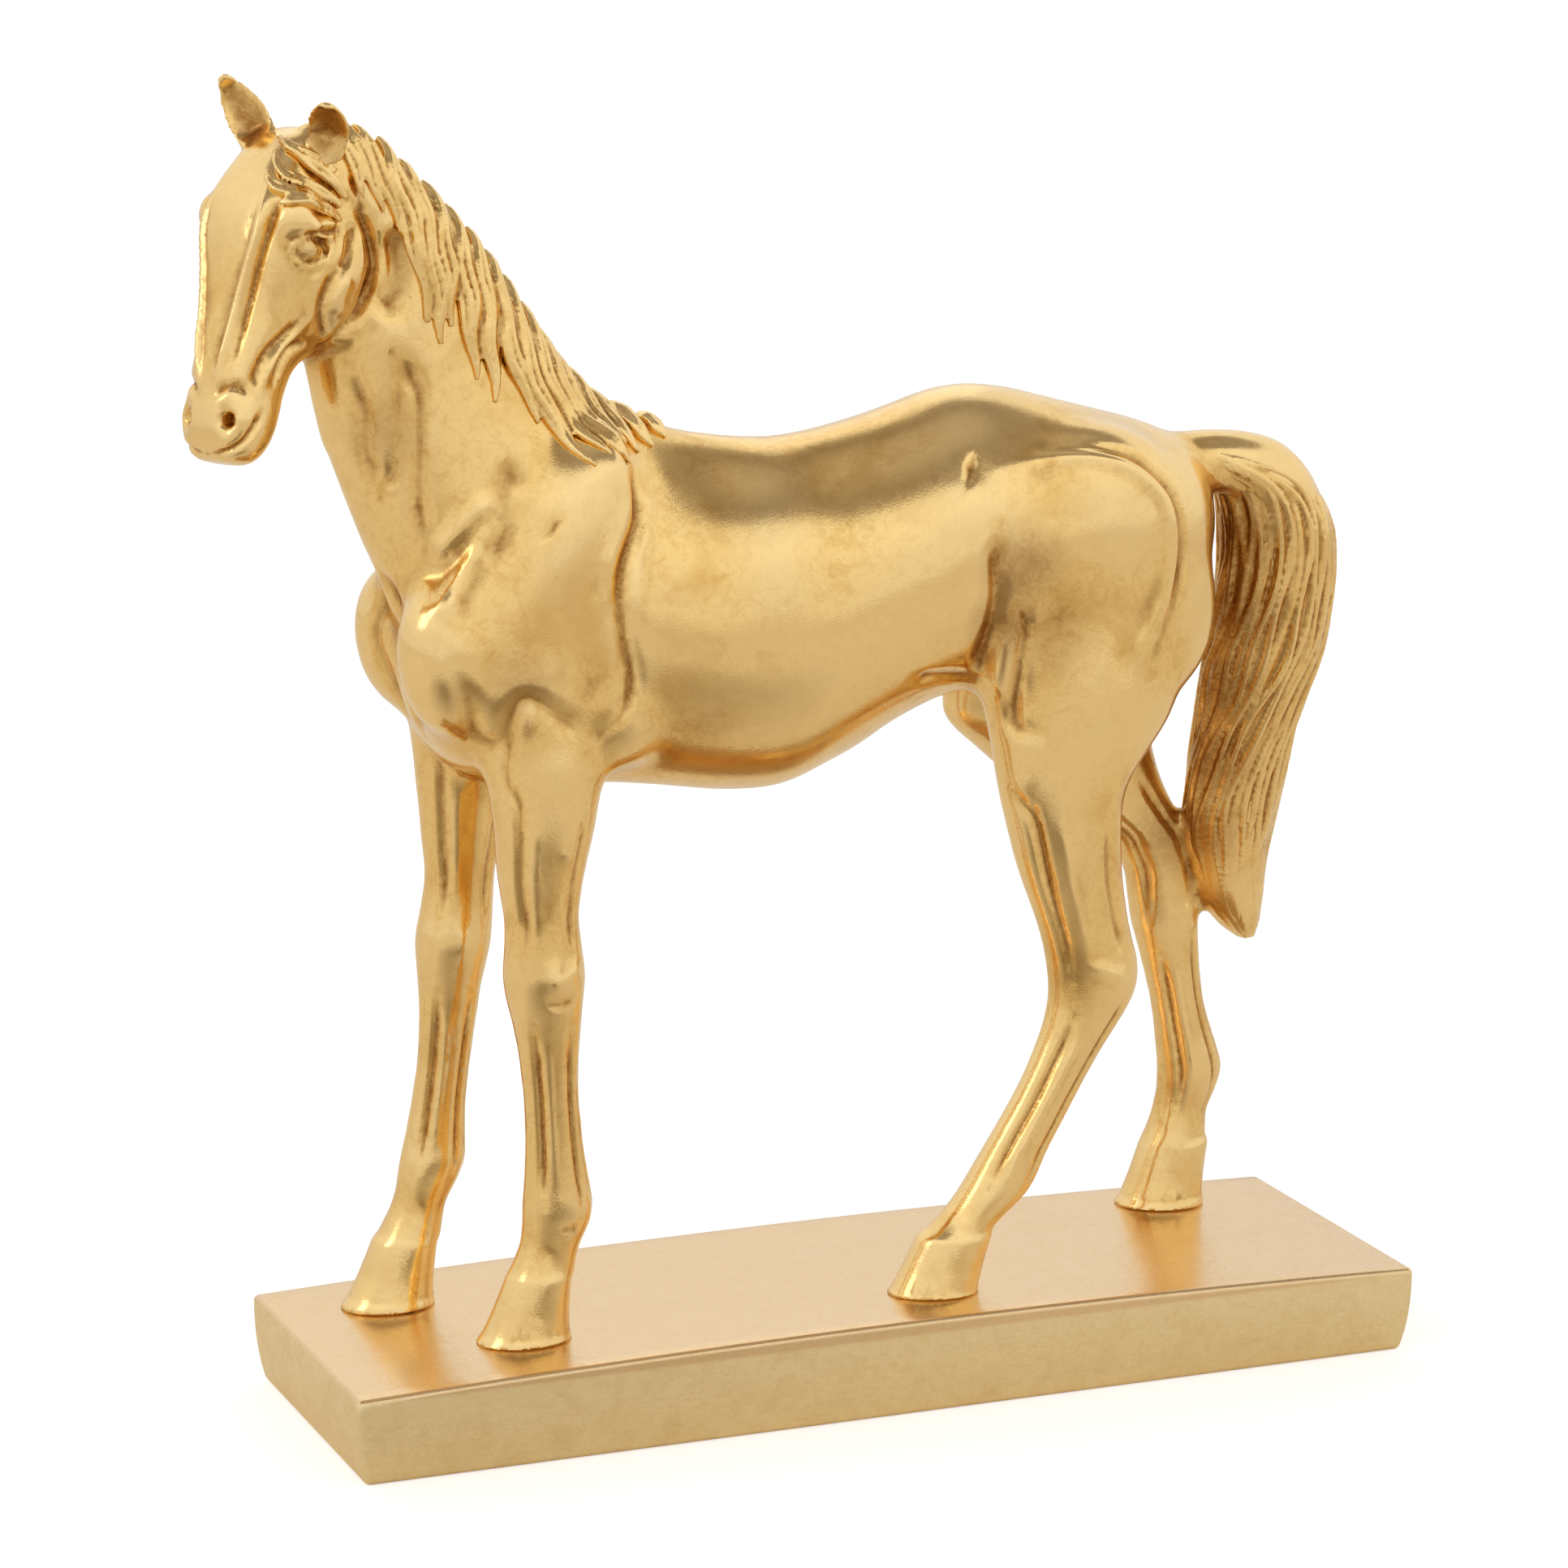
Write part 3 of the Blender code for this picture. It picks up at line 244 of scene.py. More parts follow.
# Mane on the near side, down the crest from the poll (0) to the withers (1):
# length, slope below level at the root and at the tip in degrees (over 90 it leans forward)
mane = {
    "rows": [
        (0.0, 42, 55, 84), (0.15, 41, 60, 88), (0.3, 34, 78, 92), (0.42, 37, 86, 88), (0.5, 44, 96, 46),
        (0.6, 41, 99, 26), (0.7, 31, 94, 24), (0.8, 21, 84, 30), (0.9, 12, 70, 38), (1.0, 6, 60, 40),
    ],
    "locks": (0.18, 0.94, 14),  # first and last place on the crest, how many
    "fineLocks": (0.05, 0.12, 3),
    "fineFall": (58, 80),  # slope at the root and at the tip
    "fineLength": 19,
    "fineRadius": 1.5,
    "fineStrands": ((-40, 30), 0.6),
    "lockRadius": 2.5,
    "lockFlatness": 0.85,
    "lockLift": 0.12,  # of its radius, over the skin
    "strandAngles": (-66, -24, 20, 62),  # where the strands lie on each lock, from its top
    "strandRadius": 0.74,
    "grain": 0.42,
    "triangles": 180000,
}

forelock = {
    # down the face, out of it and to its left, then laid on the skin
    "locks": [
        [(-2, -2.5, 2.5), (0, -2, 7), (1, -4.5, 10), (1.5, -7, 12), (2.5, -10, 14)],
        [(1, 0, 4.5), (3.5, 0.5, 6.5), (6, 0, 9), (7, -2.5, 11), (7.5, -6, 12.5), (8, -10, 13),
         (9.5, -13.5, 12.5)],
        [(0.5, -1.5, 6), (2.5, -5, 10), (3.5, -7.5, 12), (5, -10.5, 13), (7.5, -14, 13)],
        [(5.5, 2.5, 5.5), (8.5, 2.2, 8.5), (9.8, -0.5, 11.5), (10, -5.5, 13.5), (11, -12.5, 13)],
        [(12.5, 1.5, 10.5), (11.8, -1, 12.5), (11.2, -5, 13.5), (11, -9.5, 13.2), (12.2, -14, 12)],
    ],
    "radius": 1.2,
    "flatness": 0.85,
    "strandAngles": (-42, 36),
}

ears = {
    # root, tip, the side it opens to, half-width
    "pair": [
        ((-1, -5, -4.6), (-13.1, 2.3, -12.0), (-0.45, -0.88, 0.1), 4.2),
        ((-1, -8, 11.2), (-7.9, 1.2, 17.6), (-0.5, -0.8, -0.25), 4.2),
    ],
    # share of the way to the tip, width, depth
    "profile": [
        (-0.1, 0.85, 0.85), (0.08, 0.95, 0.9), (0.2, 1.03, 0.9), (0.4, 1.06, 0.82), (0.55, 0.97, 0.72),
        (0.7, 0.82, 0.6), (0.84, 0.58, 0.46), (0.94, 0.4, 0.36), (1.0, 0.2, 0.2),
    ],
    "hollow": 1.45,
    "backBow": 1.2,
}

# Muscle edges of the near side as seen on its skin: depth (a ridge is negative), half-width, points
muscleGain = (1.3, 1.1)  # on the depths and half-widths
muscleLines = [
    (1.0, 1.6, [(-108, -9, 207.5), (-106, -9, 198), (-105.5, -8.5, 191), (-102.5, -8.5, 181)]),
    (0.8, 1.5, [(-99.5, -11.5, 204.5), (-99, -11.5, 198), (-100, -11, 187.5), (-102.5, -8.5, 181)]),
    (1.2, 1.6, [(-99.5, -12, 210), (-97, -12, 206), (-95.5, -13, 201.5), (-95.5, -13, 191),
                (-95.5, -12.5, 179), (-94.5, -13.5, 170.5)]),
    (-1.0, 2.0, [(-94, -13.5, 168), (-87.5, -17, 175), (-80.5, -18.5, 182.5)]),
    (-1.2, 2.0, [(-81, -19, 178.5), (-85, -18.5, 170), (-91, -19, 161.5), (-95.5, -21.5, 156)]),
    (0.5, 2.2, [(-90, -16, 168.5), (-86.5, -17.5, 173), (-82.5, -18.5, 178)]),
    (1.1, 3.2, [(-73, -17.5, 187.5), (-78.5, -18.5, 183), (-80, -20, 175), (-85, -19.5, 167)]),
    (1.3, 1.5, [(-51.5, -14.5, 190), (-51, -20, 181.5), (-51, -21, 175), (-55, -24, 167.5),
                (-56.5, -25.5, 160), (-56, -26.5, 151), (-54.5, -26, 142), (-56, -26, 135.5),
                (-61, -24.5, 131)]),
    (-0.7, 2.0, [(-56, -17.5, 191.5), (-55.5, -21, 186.5), (-53.5, -22, 180), (-55, -23.5, 174),
                 (-58, -24.5, 167), (-59.5, -25.5, 160)]),
    (-0.6, 1.6, [(-46.5, -16, 182.5), (-49.5, -21, 175), (-53, -25, 164.5), (-54, -26.5, 152.5)]),
    (0.8, 2.4, [(-70.5, -22, 175), (-69.5, -22.5, 174)]),
    (0.9, 2.2, [(-94, -23, 151.5), (-89.5, -23, 140.5), (-86.5, -19.5, 132), (-82.5, -22, 130.5),
                (-80, -25, 137), (-77, -26, 140), (-69.5, -25, 135.5), (-64, -24, 132)]),
    (1.3, 1.7, [(-102, -2, 166), (-98.5, -4.5, 158), (-100, -8, 150), (-98, -6, 140),
                (-91.5, -3, 128.5)]),
    (1.0, 3.0, [(23, -21.5, 181.5), (24.5, -22, 181)]),
    (1.6, 1.8, [(28.5, -27, 169), (27.5, -27.5, 162.5), (28, -27, 156), (28, -25.5, 149),
                (26.5, -21.5, 140.5), (27, -18, 135.5)]),
    (-0.8, 2.2, [(31.5, -25, 148.5), (31, -23.5, 138.5), (30.5, -19.5, 131)]),
    (1.1, 1.5, [(30.5, -26.5, 154), (35, -25.5, 148), (34, -24.5, 137.5), (34, -22, 126),
                (38, -25.5, 123.5)]),
    (0.8, 1.5, [(10, -23.5, 137.5), (18, -20.5, 137), (26.5, -17, 134.5)]),
    (-0.9, 1.9, [(31, -22, 181), (41, -21, 182.5), (51, -22.5, 182.5), (58.5, -23.5, 180.5),
                 (65, -24.5, 176), (68.5, -24.5, 170.5), (69.5, -25, 162.5), (68, -24.5, 151),
                 (63, -25.5, 141), (59, -27.5, 132)]),
    (0.9, 1.3, [(41.5, -19.5, 184), (51.5, -21.5, 184), (60.5, -22.5, 182), (67.5, -23, 176.5),
                (71.5, -23.5, 171), (72.5, -23.5, 162), (70.5, -24.5, 150.5), (66, -25, 140)]),
]

# Tendons of the legs on their near and far faces: depth, half-width, turn towards the rear, top and bottom
tendons = {
    "Fore": [
        (1.0, 1.0, -42, 124, 84), (-0.5, 1.0, -22, 116, 86), (0.8, 0.9, 34, 116, 84),
        (-0.6, 0.8, -2, 84, 74), (1.1, 0.8, -38, 70, 28), (-0.5, 0.8, -16, 68, 30),
        (0.9, 0.7, 30, 70, 26), (0.6, 0.7, 62, 60, 28),
    ],
    "Hind": [
        (1.0, 1.0, -44, 112, 66), (-0.5, 1.1, -18, 108, 72), (0.9, 1.0, 30, 104, 70),
        (1.0, 0.8, -34, 60, 24), (-0.5, 0.8, -12, 58, 26), (0.9, 0.8, 34, 66, 22), (0.5, 0.7, 60, 58, 26),
    ],
}
# Joints and creases, each on its own leg
legLines = [
    (0.8, 1.1, [(-80.5, -25, 136), (-80.5, -23, 128), (-80.5, -23, 121.5), (-77.5, -25, 115)]),
    (0.6, 1.2, [(-70.5, -23.5, 25), (-66, -23, 24.5)]),
    (-0.6, 1.2, [(-69, -25.5, 107.5), (-68, -25.5, 105)]),
    (-0.6, 1.4, [(-73.5, -25, 81), (-70.5, -25, 79), (-67.5, -24.5, 80.5), (-65, -23.5, 83)]),
    (0.7, 1.1, [(-73.5, -24.5, 75.5), (-70.5, -25, 74), (-67, -24.5, 75)]),
    (0.9, 1.3, [(33, -20.5, 112.5), (37, -25, 105.5), (40, -25.5, 96), (43.5, -24.5, 81.5)]),
    (-0.7, 1.6, [(50, -27, 72), (56, -26.5, 69), (61, -24, 66)]),
]

# Darker spots painted into the coat, in the grid or in the head's own measures: place, reach, strength.
# Mostly painted shade and painted reflection: in the neck's grooves, down the tail's front, at the roots of
# the ears, in the nostrils, round the eyes, low on the shoulder and the flank; partly patina on the haunch
patinaAndShadeSpots = {
    "grid": [
        ((34, -26, 160), 11, 0.7), ((30, -27, 148), 9, 0.8), ((41, -27, 146), 14, 0.45),
        ((-78, -25, 146), 10, 0.45), ((-40, -27, 128), 13, 0.42), ((-102, -10, 194), 10, 0.45),
        ((-98, -12, 207), 8, 0.3), ((106, 8, 115), 60, 0.2), ((92, -4, 158), 15, 1.0),
        ((92, -2, 142), 15, 1.0), ((92, 2, 125), 15, 0.95), ((92, 7, 108), 14, 0.9),
        ((92, 11, 90), 13, 0.8),
    ],
    "head": [
        ((-4.0, -4.8, -7.4), 3.6, 1.0), ((-2.6, -5.4, 12.6), 4.4, 1.0), ((29, -20, 13), 8, 0.4),
        ((20, -7, 13), 4.5, 0.45), ((57, -0.5, 5.4), 1.8, 1.0), ((26, -7, 11), 7, 0.2),
        ((45, -6, 8), 4, 0.2), ((-2, -2, 5), 4, 0.5), ((16, -8, 13), 7, 0.2),
    ],
}


# Small tools of the lofting

sideAxis = Vector((0, 1, 0))


def smoothRows(rows, steps):
    rows = [np.array(row, dtype=float) for row in rows]
    rows = [2 * rows[0] - rows[1]] + rows + [2 * rows[-1] - rows[-2]]
    out = []
    for a, b, c, d in zip(rows, rows[1:], rows[2:], rows[3:]):
        for step in range(steps):
            t = step / steps
            out.append(0.5 * (2 * b + (c - a) * t + (2 * a - 5 * b + 4 * c - d) * t * t
                              + (3 * b - a - 3 * c + d) * t ** 3))
    out.append(rows[-2])
    return out


def bodyRing(top, bottom, sideways, half, crown=1.0, keel=1.0, fullness=1.0):
    ring = []
    count = 32
    for index in range(count):
        angle = math.tau * index / count
        down = 0.5 - 0.5 * math.cos(angle)
        share = crown * (1 - down) * (1 - 2 * down) + 4 * down * (1 - down) - keel * down * (1 - 2 * down)
        side = math.copysign(abs(math.sin(angle)) ** fullness, math.sin(angle))
        ring.append(top + (bottom - top) * down + sideways * (half * side * share))
    return ring


def skinRings(body, rings):
    rows = [[body.verts.new(point) for point in ring] for ring in rings]
    count = len(rows[0])
    for first, second in zip(rows, rows[1:]):
        for index in range(count):
            after = (index + 1) % count
            body.faces.new((first[index], first[after], second[after], second[index]))
    body.faces.new(rows[0][::-1])
    body.faces.new(rows[-1])


def addStrand(body, points, radii, sides, flat, count=8):
    rings = []
    for index, point in enumerate(points):
        along = (points[min(index + 1, len(points) - 1)] - points[max(index - 1, 0)]).normalized()
        across = sides[index]
        across = (across - along * across.dot(along)).normalized()
        wide = along.cross(across)
        rings.append([point + wide * (radii[index] * math.cos(math.tau * step / count))
                      + across * (radii[index] * flat * math.sin(math.tau * step / count))
                      for step in range(count)])
    skinRings(body, rings)


def addBall(body, centre, sizes, turn):
    shape = Matrix.Translation(centre) @ turn.to_4x4() @ Matrix.Diagonal((*sizes, 1))
    bmesh.ops.create_uvsphere(body, u_segments=28, v_segments=18, radius=1, matrix=shape)


def strandRadii(count, radius, tip=0.25, root=0.75):
    radii = []
    for index in range(count):
        share = index / (count - 1)
        radii.append(radius * min(1.0, root + share * 2, tip + (1 - share) * 2.2))
    return radii


# Head's own axes: down the face, out of it, to its left
headTurn = math.radians(head["turn"])
headAhead = Vector((-math.cos(headTurn), -math.sin(headTurn), 0))
headSlope = math.radians(head["slope"])
headRoll = Matrix.Rotation(-math.radians(head["roll"]), 3, headAhead)
faceDown = headRoll @ (headAhead * math.cos(headSlope) - Vector((0, 0, 1)) * math.sin(headSlope))
faceOut = headRoll @ (headAhead * math.sin(headSlope) + Vector((0, 0, 1)) * math.cos(headSlope))
faceLeft = headRoll @ Vector((0, 0, 1)).cross(headAhead)
headAxes = Matrix((faceDown, faceOut, faceLeft)).transposed()


def headPoint(down, out, left):
    aside = left + head["muzzleShift"] * min(1.0, max(0.0, (down - 34) / 18))
    return head["poll"] + faceDown * down + faceOut * out + faceLeft * aside


def addTrunk(body):
    rings = []
    for x, top, bottom, half, crown, keel in smoothRows(trunk["rows"], 4):
        rings.append(bodyRing(Vector((x, 0, top)), Vector((x, 0, bottom)), sideAxis, half, crown, keel))
    skinRings(body, rings)
    for centre, sizes, tilt in trunk["muscles"]:
        turn = Matrix.Rotation(math.radians(tilt), 3, "Y")
        for side in ((1, -1) if centre[1] else (1,)):
            addBall(body, Vector((centre[0], centre[1] * side, centre[2])), sizes, turn)


def addNeck(body):
    rings = []
    for crestX, crestZ, throatX, throatZ, shift, half in smoothRows(neck["rows"], 4):
        turn = headTurn * min(1, max(0, -shift / 3.2))
        sideways = Vector((-math.sin(turn), math.cos(turn), 0))
        rings.append(bodyRing(Vector((crestX, shift, crestZ)), Vector((throatX, shift, throatZ)), sideways,
                              half, neck["crownShare"], neck["keelShare"]))
    skinRings(body, rings)


def addHead(body):
    rings = []
    for down, face, jaw, half, crown, keel in smoothRows(head["rows"], 4):
        top, bottom = headPoint(down, face, 0), headPoint(down, jaw, 0)
        rings.append(bodyRing(top, bottom, faceLeft, half, crown, keel, head["fullness"]))
    skinRings(body, rings)
    for side in (-1, 1):
        for (down, out, left), sizes in head["lumps"]:
            addBall(body, headPoint(down, out, side * left), sizes, headAxes)
    chin, sizes = head["chin"]
    addBall(body, headPoint(*chin), sizes, headAxes)


def addLegs(body):
    for rows in legs.values():
        rings = []
        for x, y, z, depth, half in smoothRows(rows, 3):
            rings.append(bodyRing(Vector((x - depth, y, z)), Vector((x + depth, y, z)), sideAxis, half))
        skinRings(body, rings)


def addTail(body):
    rings = []
    for x, y, z, depth, half in smoothRows(tail["rows"], 4):
        rise = min(1.0, max(0.0, (z - 158) / 16))
        lean = Vector((1 - 0.8 * rise, 0, 0.98 * rise)).normalized()
        middle = Vector((x, y, z))
        rings.append(bodyRing(middle + lean * depth, middle - lean * depth, sideAxis, half))
    skinRings(body, rings)


def addBody(body):
    addTrunk(body)
    addNeck(body)
    addHead(body)
    addLegs(body)
    addTail(body)


# One casting: everything is skinned together and closed by a voxel remesh

def castSkin(name, build, grain, core=None):
    body = bmesh.new()
    if core:
        body.from_mesh(core.data)
    build(body)
    bmesh.ops.recalc_face_normals(body, faces=body.faces)
    mesh = bpy.data.meshes.new(name)
    body.to_mesh(mesh)
    body.free()
    piece = bpy.data.objects.new(name, mesh)
    bpy.context.scene.collection.objects.link(piece)
    remesh = piece.modifiers.new("skin", "REMESH")
    remesh.mode = "VOXEL"
    remesh.voxel_size = grain
    applyAll(piece)
    return piece


def applyAll(piece):
    bpy.ops.object.select_all(action="DESELECT")
    piece.select_set(True)
    bpy.context.view_layer.objects.active = piece
    for modifier in list(piece.modifiers):
        bpy.ops.object.modifier_apply(modifier=modifier.name)


def readPoints(piece, field="co"):
    values = np.empty(len(piece.data.vertices) * 3)
    piece.data.vertices.foreach_get(field, values)
    return values.reshape(-1, 3)


def writePoints(piece, places):
    piece.data.vertices.foreach_set("co", places.ravel())
    piece.data.update()


def edgePairs(piece):
    pairs = np.empty(len(piece.data.edges) * 2, dtype=np.int64)
    piece.data.edges.foreach_get("vertices", pairs)
    return pairs.reshape(-1, 2)


def relax(places, pairs, share, turns, weight=1.0):
    # share of the way to the mean of the neighbours, as many times as there are turns
    count = np.bincount(pairs.ravel(), minlength=len(places))[:, None]
    first, second = pairs[:, 0], pairs[:, 1]
    for _ in range(turns):
        total = np.empty_like(places)
        for axis in range(3):
            total[:, axis] = (np.bincount(first, places[second, axis], len(places))
                              + np.bincount(second, places[first, axis], len(places)))
        places = places + (total / count - places) * share * weight
    return places


def soften(piece, share, turns, weigh=None):
    places = readPoints(piece)
    weight = weigh(places) if weigh else 1.0
    writePoints(piece, relax(places, edgePairs(piece), share, turns, weight))


def blendWeight(places):
    # strong on the trunk and the roots of the limbs, weak on the head and the lower legs
    rise = np.clip(0.05 + (places[:, 2] - 95) / 25, 0.05, 1)
    rise[(places[:, 0] < -100) & (places[:, 2] > 190)] = 0.1
    return rise[:, None]


def softShare(places):
    share = (np.clip((places[:, 2] - figure["kneeLevel"]) / 30, 0.12, 1)
             * np.clip((places[:, 0] - figure["headPlace"]) / 10, 0.1, 1))
    low, high = figure["coronetBand"]
    share[(places[:, 2] > low) & (places[:, 2] < high)] = 1
    return share[:, None]


def skinTree(piece):
    body = bmesh.new()
    body.from_mesh(piece.data)
    tree = BVHTree.FromBMesh(body)
    body.free()
    return tree


# Hair: each strand is combed over the skin from its root

def combOver(tree, root, slope, tipSlope, length, lift, phase, steps):
    point = Vector(root)
    path = []
    normals = []
    for step in range(steps):
        spot, normal, _, _ = tree.find_nearest(point)
        path.append(spot + normal * lift)
        normals.append(normal)
        dip = math.radians(slope + (tipSlope - slope) * step / (steps - 1))
        wave = 0.17 * math.sin(step * 0.85 + phase)
        ahead = Vector((math.cos(dip + wave), 0, -math.sin(dip + wave)))
        ahead.y = -1.2 * max(0.0, normal.z)
        ahead = (ahead - normal * ahead.dot(normal)).normalized()
        point = spot + ahead * (length / (steps - 1))
    return path, normals


def crestPoint(share):
    rows = smoothRows([(row[0], row[1], row[4]) for row in neck["rows"][::-1]], 4)
    place = share * (len(rows) - 1)
    index = min(int(place), len(rows) - 2)
    x, z, y = rows[index] + (rows[index + 1] - rows[index]) * (place - index)
    return Vector((x, y, z))


def addLock(body, path, normals, radius, flat, angles, strandRadius, phase, tip=0.12, root=0.38):
    # one lock with finer strands over its upper half
    radii = strandRadii(len(path), radius, tip, root)
    addStrand(body, path, [size * 0.9 for size in radii], normals, flat, 12)
    for number, angle in enumerate(angles):
        points = []
        for step, (spot, normal) in enumerate(zip(path, normals)):
            along = (path[min(step + 1, len(path) - 1)] - path[max(step - 1, 0)]).normalized()
            turn = math.radians(angle) + 0.16 * math.sin(step * 0.55 + phase + number * 2.1)
            points.append(spot + normal.cross(along) * (radii[step] * math.sin(turn))
                          + normal * (radii[step] * flat * math.cos(turn)))
        sizes = [strandRadius * min(1.0, 0.25 + size / radius) for size in radii]
        addStrand(body, points, sizes, normals, 1.0)


def addMane(body, tree):
    shares, lengths, roots, tips = zip(*mane["rows"])
    first, last, count = mane["locks"]
    for index in range(count):
        share = first + (last - first) * index / (count - 1)
        radius = mane["lockRadius"] * (1 - 0.4 * share)
        length = np.interp(share, shares, lengths) * (1 + 0.09 * math.sin(index * 2.3))
        root = crestPoint(share) + Vector((0, -0.3, 0.3 - 1.8 * share))
        slope, tipSlope = np.interp(share, shares, roots), np.interp(share, shares, tips)
        lift = mane["lockLift"] * radius
        path, normals = combOver(tree, root, slope, tipSlope, length, lift, index * 1.3, 20)
        addLock(body, path, normals, radius, mane["lockFlatness"], mane["strandAngles"], mane["strandRadius"],
                index * 1.7)
    # finer hair between the ear and the first lock
    first, last, count = mane["fineLocks"]
    angles, strandRadius = mane["fineStrands"]
    for index in range(count):
        share = first + (last - first) * index / (count - 1)
        root = crestPoint(share) + Vector((0, 0, -0.6))
        length = mane["fineLength"] + 3 * index
        path, normals = combOver(tree, root, *mane["fineFall"], length, 0.1, index * 1.9, 14)
        addLock(body, path, normals, mane["fineRadius"], 0.6, angles, strandRadius, index * 1.1)


def addForelock(body, tree):
    radius = forelock["radius"]
    for index, lock in enumerate(forelock["locks"]):
        path = []
        normals = []
        for place in smoothRows(lock, 4):
            spot, normal, _, _ = tree.find_nearest(headPoint(*place))
            path.append(spot + normal * 0.3 * radius)
            normals.append(normal)
        addLock(body, path, normals, radius, forelock["flatness"], forelock["strandAngles"], 0.5 * radius,
                index, 0.3, 0.35)


def wave(step, size, pace, start, times=1):
    return size * math.sin(step * pace + start * times)


def addTailHair(body):
    rows = smoothRows(tail["rows"], 4)[4:]
    for lock in range(tail["locks"]):
        path = []
        normals = []
        for step, (x, y, z, depth, half) in enumerate(rows):
            turn = math.tau * lock / tail["locks"] + wave(step, *tail["sweep"])
            turn += wave(step, *tail["ripple"], lock)
            out = Vector((math.cos(turn), math.sin(turn), 0))
            sink = tail["lockRadius"] * (0.5 + 0.45 * max(0, 1 - step / 6)) * min(1, depth / 9)
            path.append(Vector((x + out.x * (depth - sink), y + out.y * (half - sink), z)))
            normals.append(out)
        radius = tail["lockRadius"] * (1 + 0.12 * math.sin(lock * 2.7))
        addLock(body, path, normals, radius, tail["lockFlatness"], tail["strandAngles"], tail["strandRadius"],
                lock * 2.2)


def addEar(body, base, tip, facing, half):
    along = (tip - base).normalized()
    across = along.cross(facing).normalized()
    front = across.cross(along).normalized()
    rings = []
    for share, width, depth in ears["profile"]:
        bow = ears["backBow"] * math.sin(math.pi * min(1, max(0, share)))
        centre = base + (tip - base) * share - front * bow
        ring = []
        for step in range(32):
            angle = math.tau * step / 32
            out = math.sin(angle)
            hollow = ears["hollow"] * max(0.0, out) ** 1.3 * min(1.0, 6 * max(0, share), 7 * (1 - share))
            ring.append(centre + across * (half * width * math.cos(angle))
                        + front * (half * depth * (out - hollow)))
        rings.append(ring)
    skinRings(body, rings)


def addHoof(body, coronetToe, coronetHeel, coronetZ, soleToe, soleHeel, y):
    rings = []
    shares = (-0.14, -0.05, 0.04, 0.5, 0.86, 0.93, 1.0, 1.0 + hooves["deepening"] / coronetZ)
    widening = hooves["halfWidth"] - hooves["coronetHalfWidth"]
    stands = (-0.6, 0.1, 0, -0.25, -0.1, hooves["bead"] * 0.8, hooves["bead"], hooves["bead"])
    for share, stand in zip(shares, stands):
        toe = coronetToe + (soleToe - coronetToe) * share - stand
        heel = coronetHeel + (soleHeel - coronetHeel) * share + stand
        half = hooves["coronetHalfWidth"] + widening * share + stand
        height = coronetZ * (1 - share)
        rings.append(bodyRing(Vector((toe, y, height)), Vector((heel, y, height)), sideAxis, half,
                              *hooves["shares"]))
    skinRings(body, rings)


def onCheek(tree, down, out, side, lift=0.0):
    # a place of the head's side seen square to its middle plane
    spot, normal, _, _ = tree.ray_cast(headPoint(down, out, 30 * side), faceLeft * -side)
    if spot is None:
        spot, normal, _, _ = tree.find_nearest(headPoint(down, out, 10 * side))
    return spot + normal * lift, normal


def addFace(body, tree):
    (down, out), lift, sizes = head["eye"]
    for side in (-1, 1):
        middle = onCheek(tree, down, out, side)[0] + faceLeft * side * (lift - 0.4 * sizes[2])
        addBall(body, middle, sizes, headAxes)
        for radius, points in head["rolls"]:
            path = [onCheek(tree, row[0], row[1], side, 0.25 * radius) for row in smoothRows(points, 4)]
            addStrand(body, [spot for spot, _ in path], strandRadii(len(path), radius, 0.4),
                      [normal for _, normal in path], 0.9)
        radius, points = head["nostrilRim"]
        path = [headPoint(row[0], row[1], side * row[2]) for row in smoothRows(points, 4)]
        addStrand(body, path, strandRadii(len(path), radius, 0.5), [faceLeft * side] * len(path), 0.9)


def addDetails(body, tree):
    addFace(body, tree)
    for row in hooves["rows"]:
        addHoof(body, *row)
    for root, tip, facing, half in ears["pair"]:
        addEar(body, headPoint(*root), headPoint(*tip), Vector(facing).normalized(), half)


def pressLines(piece, lines):
    # a positive depth presses a groove into the skin along its line, a negative one raises a ridge
    places = readPoints(piece)
    normals = readPoints(piece, "normal")
    shift = np.zeros(len(places))
    for depth, width, points in lines:
        points = np.array(smoothRows(points, 3) if len(points) > 2 else points, dtype=float)
        reach = 3 * width
        inside = (places > points.min(0) - reach) & (places < points.max(0) + reach)
        near = np.flatnonzero(np.all(inside, axis=1))
        spots = places[near]
        nearest = np.full(len(near), 1e9)
        fade = np.zeros(len(near))
        last = len(points) - 1
        for index in range(last):
            start, run = points[index], points[index + 1] - points[index]
            along = np.clip((spots - start) @ run / (run @ run + 1e-9), 0, 1)
            distance = np.linalg.norm(spots - start - along[:, None] * run, axis=1)
            closer = distance < nearest
            nearest[closer] = distance[closer]
            share = (index + along) / last
            fade[closer] = np.clip(np.minimum(share, 1 - share) * 5, 0.2, 1)[closer]
        shift[near] -= depth * fade * np.exp(-(nearest / width) ** 2)
    writePoints(piece, places + normals * shift[:, None])


def tendonLines():
    lines = []
    levels = np.arange(0, 160, 1.0)
    for name, rows in legs.items():
        heights = [row[2] for row in rows][::-1]
        shape = [np.interp(levels, heights, [row[place] for row in rows][::-1]) for place in (0, 1, 3, 4)]
        for depth, width, turn, top, bottom in tendons[name[-4:]]:
            swing = math.radians(turn)
            for face in (-1, 1):
                points = []
                for height in np.arange(top, bottom - 1, -4):
                    x, y, reach, half = [values[int(height)] for values in shape]
                    points.append((x + reach * math.sin(swing), y + face * half * math.cos(swing), height))
                lines.append((depth, width, points))
    return lines


def bothSides(lines):
    # lines of the near side and the same ones on the far side
    return lines + [(depth, width, [(x, -y, z) for x, y, z in points]) for depth, width, points in lines]


def onSkin(tree, down, out, left):
    return tuple(tree.find_nearest(headPoint(down, out, left))[0])


